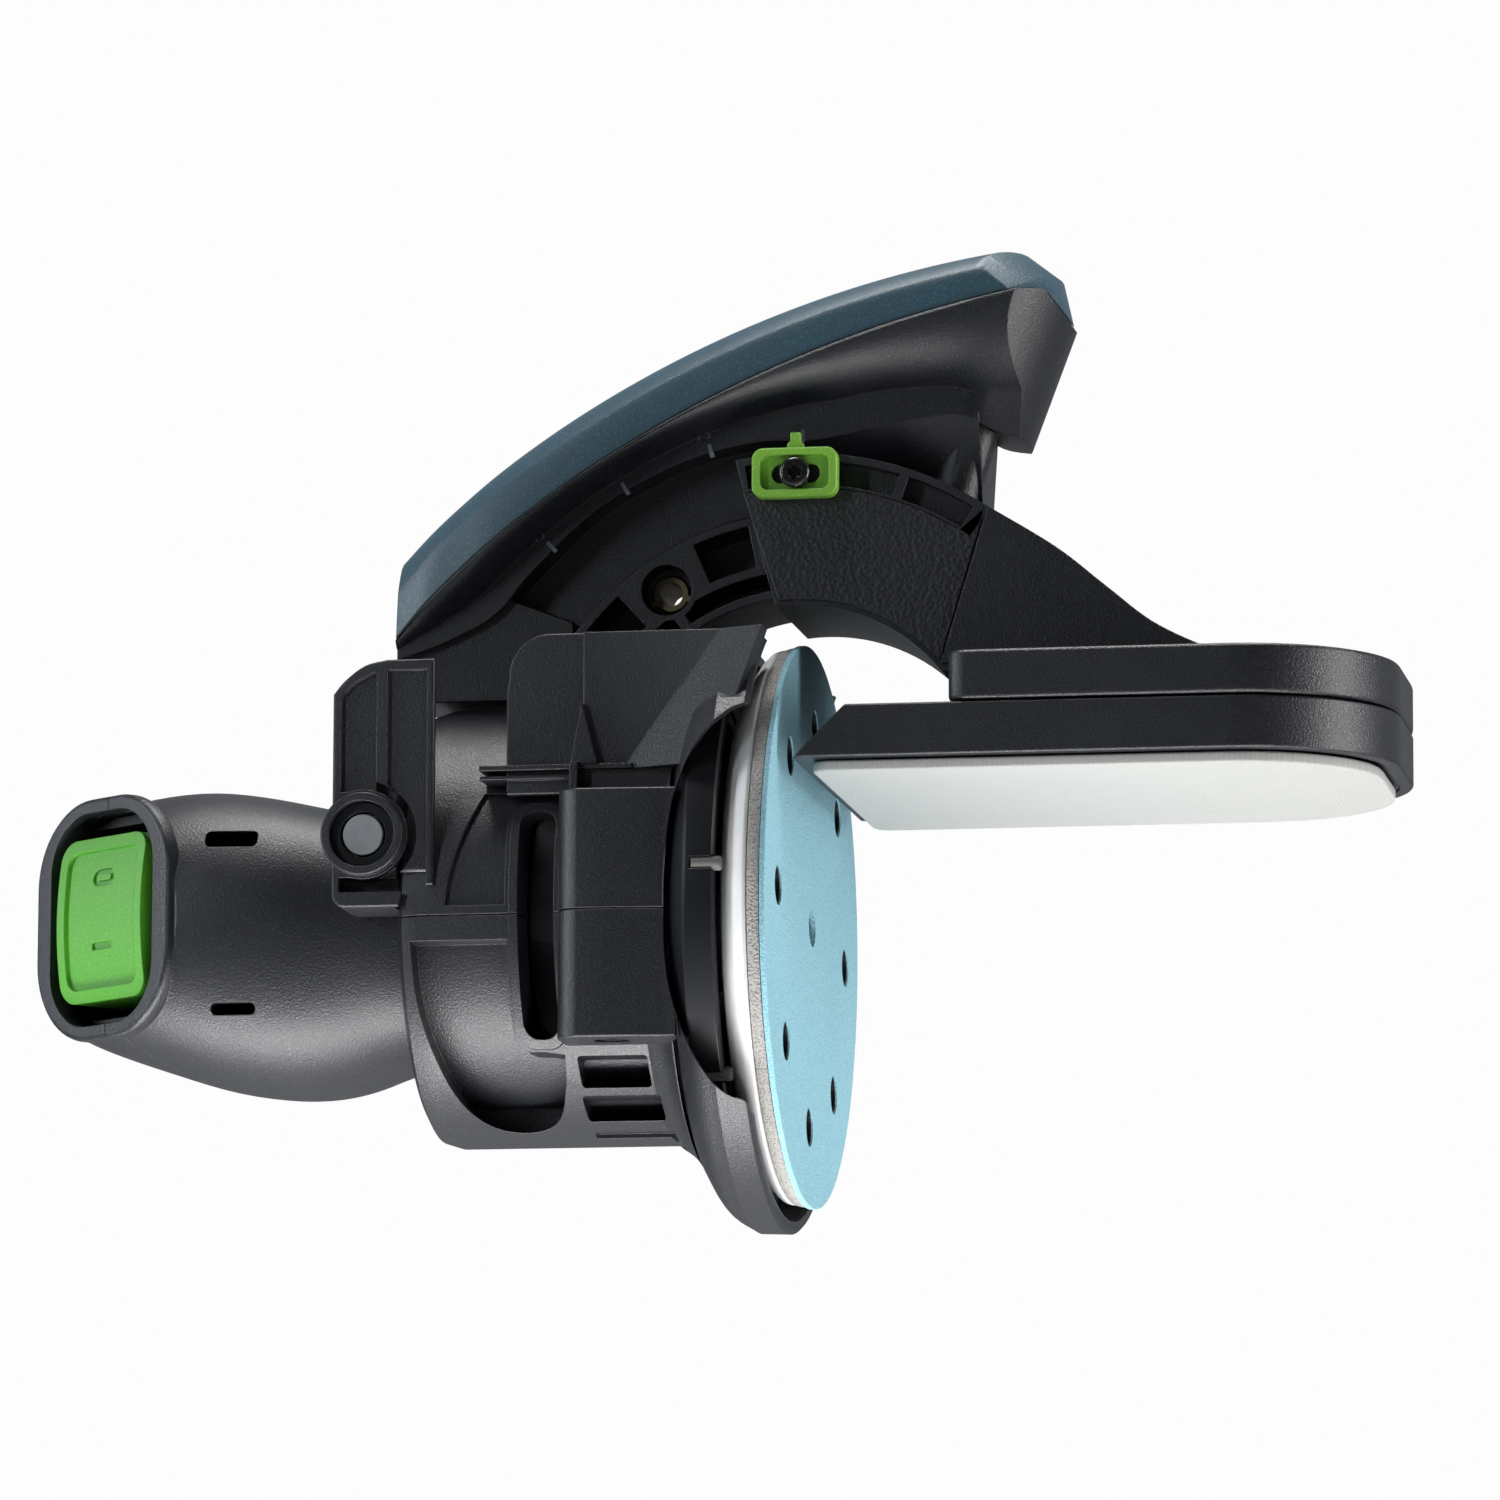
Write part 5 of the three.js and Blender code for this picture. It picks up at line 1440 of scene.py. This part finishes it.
@dataclass(frozen=True)
class SlideShoe:
    """The sector arm with its grained face, the two plates and the felt."""

    radii: Span = (41.0, 75.0)
    cheek: Span = (16.0, 22.0)
    web: float = 2.4
    face: float = 0.6
    stud_r: float = 70.0
    half_y: float = 47.5
    end_x: float = 132.5
    corner: float = 35.0
    upper_z: Span = (14.6, 25.7)
    upper_x: float = 37.2
    lower_z: Span = (2.7, 14.3)
    felt_x: Span = (7.0, 128.5)
    felt_half: float = 44.5
    felt_t: float = 2.4
    screws: tuple[Point, ...] = ((52, 34), (52, -34), (104, 34), (104, -34))

    def outline(self) -> list[Sequence[float]]:
        """The side view of the sector and its arm."""
        concave = smooth([(42, 62.2), (57.5, 52.5), (68.5, 43.6), (79, 35.2), (90.5, 29.4), (99, 26.6)], 6)
        return [
            (-13.9, 73.7), *arc(self.radii[1], -9, 34), *concave[1:], (99, self.upper_z[1] + 0.3),
            (44, self.upper_z[1] + 0.3), (40, 27.5), (37, 26.6), *arc(self.radii[0], 52.5, -6.8),
        ]

    def plan(self, x0: float, inset: float, near: float = 3.0) -> list[Point]:
        """Plan of a plate with two large round corners."""
        end, half, r = self.end_x - inset, self.half_y - inset, self.corner - inset
        return (
            arc(near, -90, 0, 15, (x0 + near, half - near)) + arc(r, 0, 90, 5, (end - r, half - r))
            + arc(r, 90, 180, 5, (end - r, r - half)) + arc(near, 180, 270, 15, (x0 + near, near - half))
        )

    def arm(self, shop: Workshop) -> None:
        """The sector arm with its rim windows, and the grained face on its front cheek."""
        near, far = self.cheek
        outline = self.outline()
        face_y = -far + self.face
        boundary = [(43.4, 64), (32.2, 27)]
        beyond = Shape.prism([boundary[0], (60, 90), (120, 60), (120, 20), boundary[1]], Axis.Y, (-30, -10))
        cheeks = [
            Shape.prism(outline, Axis.Y, (face_y, -near)),
            Shape.prism(outline, Axis.Y, (-far - 0.4, -near), 0.5).common(beyond),
            Shape.prism(outline, Axis.Y, (near, far), 0.6),
        ]
        span = (-near - 1, near + 1)
        bridge = Shape.prism(sector((self.radii[0], self.radii[0] + self.web), -6.8, 53.5), Axis.Y, span)
        root = sector((self.radii[0], self.radii[1] - 0.4), 53, 90)
        core = Shape.prism(outline, Axis.Y, span).common(Shape.prism(root, Axis.Y, span))
        windows = [
            Shape.prism(sector((68.0, 73.3), start, end), Axis.Y, (-far - 1, -far + 4.2))
            for start, end in ((-9.2, -6.5), (7.2, 18.3), (20.0, 32.6))
        ]
        rim = Shape.prism(outline, Axis.Y, (-far, face_y - 0.01), 0.25).common(
            Shape.prism(sector((67.4, 76), -14, 35), Axis.Y, (-30, -10)),
        )
        stud = (0, self.stud_r)
        body = cheeks[0].plus(cheeks[1], cheeks[2], bridge, core, rim).minus(
            *windows,
            Shape.rod(Axis.Y, 2.1, (-far - 1, -near + 1), stud),
            Shape.rod(Axis.Y, 2.9, (near - 1, far + 1), stud),
        )
        shop.add(body, "sector_body", "black", Body.SHOE, ["sector_arm"], "black_plastic")
        grained_outline = [
            *arc(67.3, -10.4, 32.4), (42.2, 62.0), (36.8, 43.4), (32.9, 30.6), (32.4, 28),
            *arc(42.1, 49, -5.6),
        ]
        grained = Shape.prism(grained_outline, Axis.Y, (-far, face_y - 0.02), 0.3)
        shop.add(grained, "sector_face", "black_leather", Body.SHOE, slot="black_plastic")

    def plates(self, shop: Workshop) -> None:
        """The two plates and the felt under them."""
        channel = Shape.block((73.8, 116), (-16, 16), (18, 30))
        upper = Shape.prism(self.plan(self.upper_x, 0, 4), Axis.Z, self.upper_z, 1.1)
        lower = Shape.prism(self.plan(2, 0), Axis.Z, self.lower_z, 0.7).minus(
            Shape.prism([(3.4, 2.7), (15.1, 14.4), (-20, 14.4), (-20, 2.7)], Axis.Y, (-60, 60)),
            Shape.prism(self.plan(20, 3.0, 1.0), Axis.Z, (self.lower_z[0] - 1, self.lower_z[0] + 0.5)),
        )
        heads = [Shape.rod(Axis.Z, SCREW_HEAD_R, (20.7, 40), at, 40) for at in self.screws]
        bores = [Shape.rod(Axis.Z, SCREW_BORE_R, (5, 22), at, 24) for at in self.screws]
        upper = upper.minus(channel, *heads, *bores)
        shop.add(upper, "shoe_top", "black", Body.SHOE, ["shoe_upper"], "black_plastic")
        shop.add(lower.minus(*bores), "shoe_base", "black", Body.SHOE, ["shoe_lower"], "black_plastic")
        x0, x1 = self.felt_x
        half, r = self.felt_half, 32.0
        plan = (
            arc(4, -90, 0, 15, (x0 + 4, half - 4)) + arc(r, 0, 90, 5, (x1 - r, half - r))
            + arc(r, 90, 180, 5, (x1 - r, r - half)) + arc(4, 180, 270, 15, (x0 + 4, 4 - half))
        )
        lining = Shape.prism(plan, Axis.Z, (0, self.felt_t), 0.5)
        felt = shop.add(lining, "felt_lining", "felt", Body.SHOE, ["slide_pad"], "felt")

    def build(self, shop: Workshop) -> None:
        """Builds the shoe and dresses its screws."""
        self.arm(shop)
        self.plates(shop)
        for index in range(1, 5):
            shop.dress(f"shoe_screw_{index}", "dark_steel")


@dataclass(frozen=True)
class AngleClamp:
    """The stud and knob that fix the angle, and the green pointer with its screw."""

    stud_r: float = 70.0
    face: float = -22.3
    lobes: int = 5

    def build(self, shop: Workshop) -> None:
        """Builds the pointer, its screw and the knob."""
        f, at = self.face, (0, self.stud_r)
        frame = Shape.prism(rounded((-9.6, 9.6), (-5.6, 5.6), 2.6, 8), Axis.Y, (f - 3.6, f), 0.6)
        nub = Shape.prism(
            [(-1.8, 4), (1.8, 4), (1.8, 6.6), (1.1, 7.2), (1.1, 9.1), (-1.1, 9.1), (-1.1, 7.2), (-1.8, 6.6)],
            Axis.Y, (f - 2.4, f), 0.3,
        )
        well = Shape.prism(rounded((-7.7, 7.7), (-3.9, 3.9), 1.9, 8), Axis.Y, (f - 6, f - 1.5))
        slot = Shape.prism(rounded((-5.4, 5.4), (-2.2, 2.2), 2.15, 8), Axis.Y, (f - 6, f + 1))
        pointer = frame.plus(nub).minus(well, slot).shifted(0, 0, self.stud_r)
        shop.add(pointer, "pointer", "pointer_green", Body.POINTER, ["angle_pointer"], "pointer_green")
        star = []
        for i in range(24):
            a = FULL_TURN * i / 24
            lobe = 1.62 + 0.34 * math.cos(6 * FULL_TURN * i / 24)
            star.append((lobe * math.sin(a), self.stud_r + lobe * math.cos(a)))
        head = Shape.rod(Axis.Y, 3.5, (f - 4.1, f - 1.7), at, 48)
        head.bevel([e for e in head.bm.edges if all(v.co.y < f - 4 for v in e.verts)], 1.1, 5)
        screw = head.plus(Shape.rod(Axis.Y, 1.7, (f - 2, -19.2), at, 32))
        screw = screw.minus(Shape.prism(star, Axis.Y, (f - 5, f - 2.7)))
        shop.add(screw, "pointer_bolt", "screw_black", Body.SHOE, ["pointer_screw"], "dark_steel")
        low, high = shop.span("clamp_knob", 1)
        knob = Shape.rod(Axis.Y, 11.2, (low, high), (0, 0), 64, 9.6)
        for i in range(self.lobes):
            a = FULL_TURN * i / self.lobes
            lobe_at = (9 * math.cos(a), 9 * math.sin(a))
            knob = knob.plus(Shape.rod(Axis.Y, 4.2, (low + 1.5, high), lobe_at, 40, 3.4))
        knob.bevel([e for e in knob.bm.edges if all(v.co.y > high - 0.1 for v in e.verts)], 0.8)
        knob = knob.minus(Shape.rod(Axis.Y, 2.9, (low - 1, high + 1), (0, 0), 32)).shifted(0, 0, self.stud_r)
        shop.add(knob, "knob", "black", Body.KNOB, ["clamp_knob"], "black_plastic")
        shop.dress("clamp_stud", "steel")


@dataclass(frozen=True)
class Drive:
    """What stays as packed inside the housing, by finish."""

    finishes: tuple[tuple[str, str], ...] = (
        ("motor_carrier", "black_smooth"), ("motor_bearing_rear", "steel"),
        ("motor_bearing_front", "steel"), ("stator", "copper"), ("control_board", "board"),
        ("fan_housing", "black_smooth"), ("motor_shaft", "aluminium"), ("rotor", "dark_steel"),
        ("fan", "black_smooth"), ("eccentric", "aluminium"), ("pad_bearing", "steel"),
    )

    def build(self, shop: Workshop) -> None:
        """Dresses the nodes."""
        for node, finish in self.finishes:
            shop.dress(node, finish)


def main() -> None:
    """Builds the sander piece by piece round its frame."""
    logging.basicConfig(level=logging.INFO, format="%(name)s %(message)s")
    shop = Workshop(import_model())
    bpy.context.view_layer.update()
    Studio().set_up(shop)
    parts = (
        GripHead(), GuideFrame(), ClampBlock(), ArcRail(), PalmHandle(), Ports(), OrbitingPad(), SlideShoe(),
        AngleClamp(), Drive(),
    )
    for part in parts:
        LOG.info("building %s", type(part).__name__)
        part.build(shop)


if __name__ == "__main__":
    main()
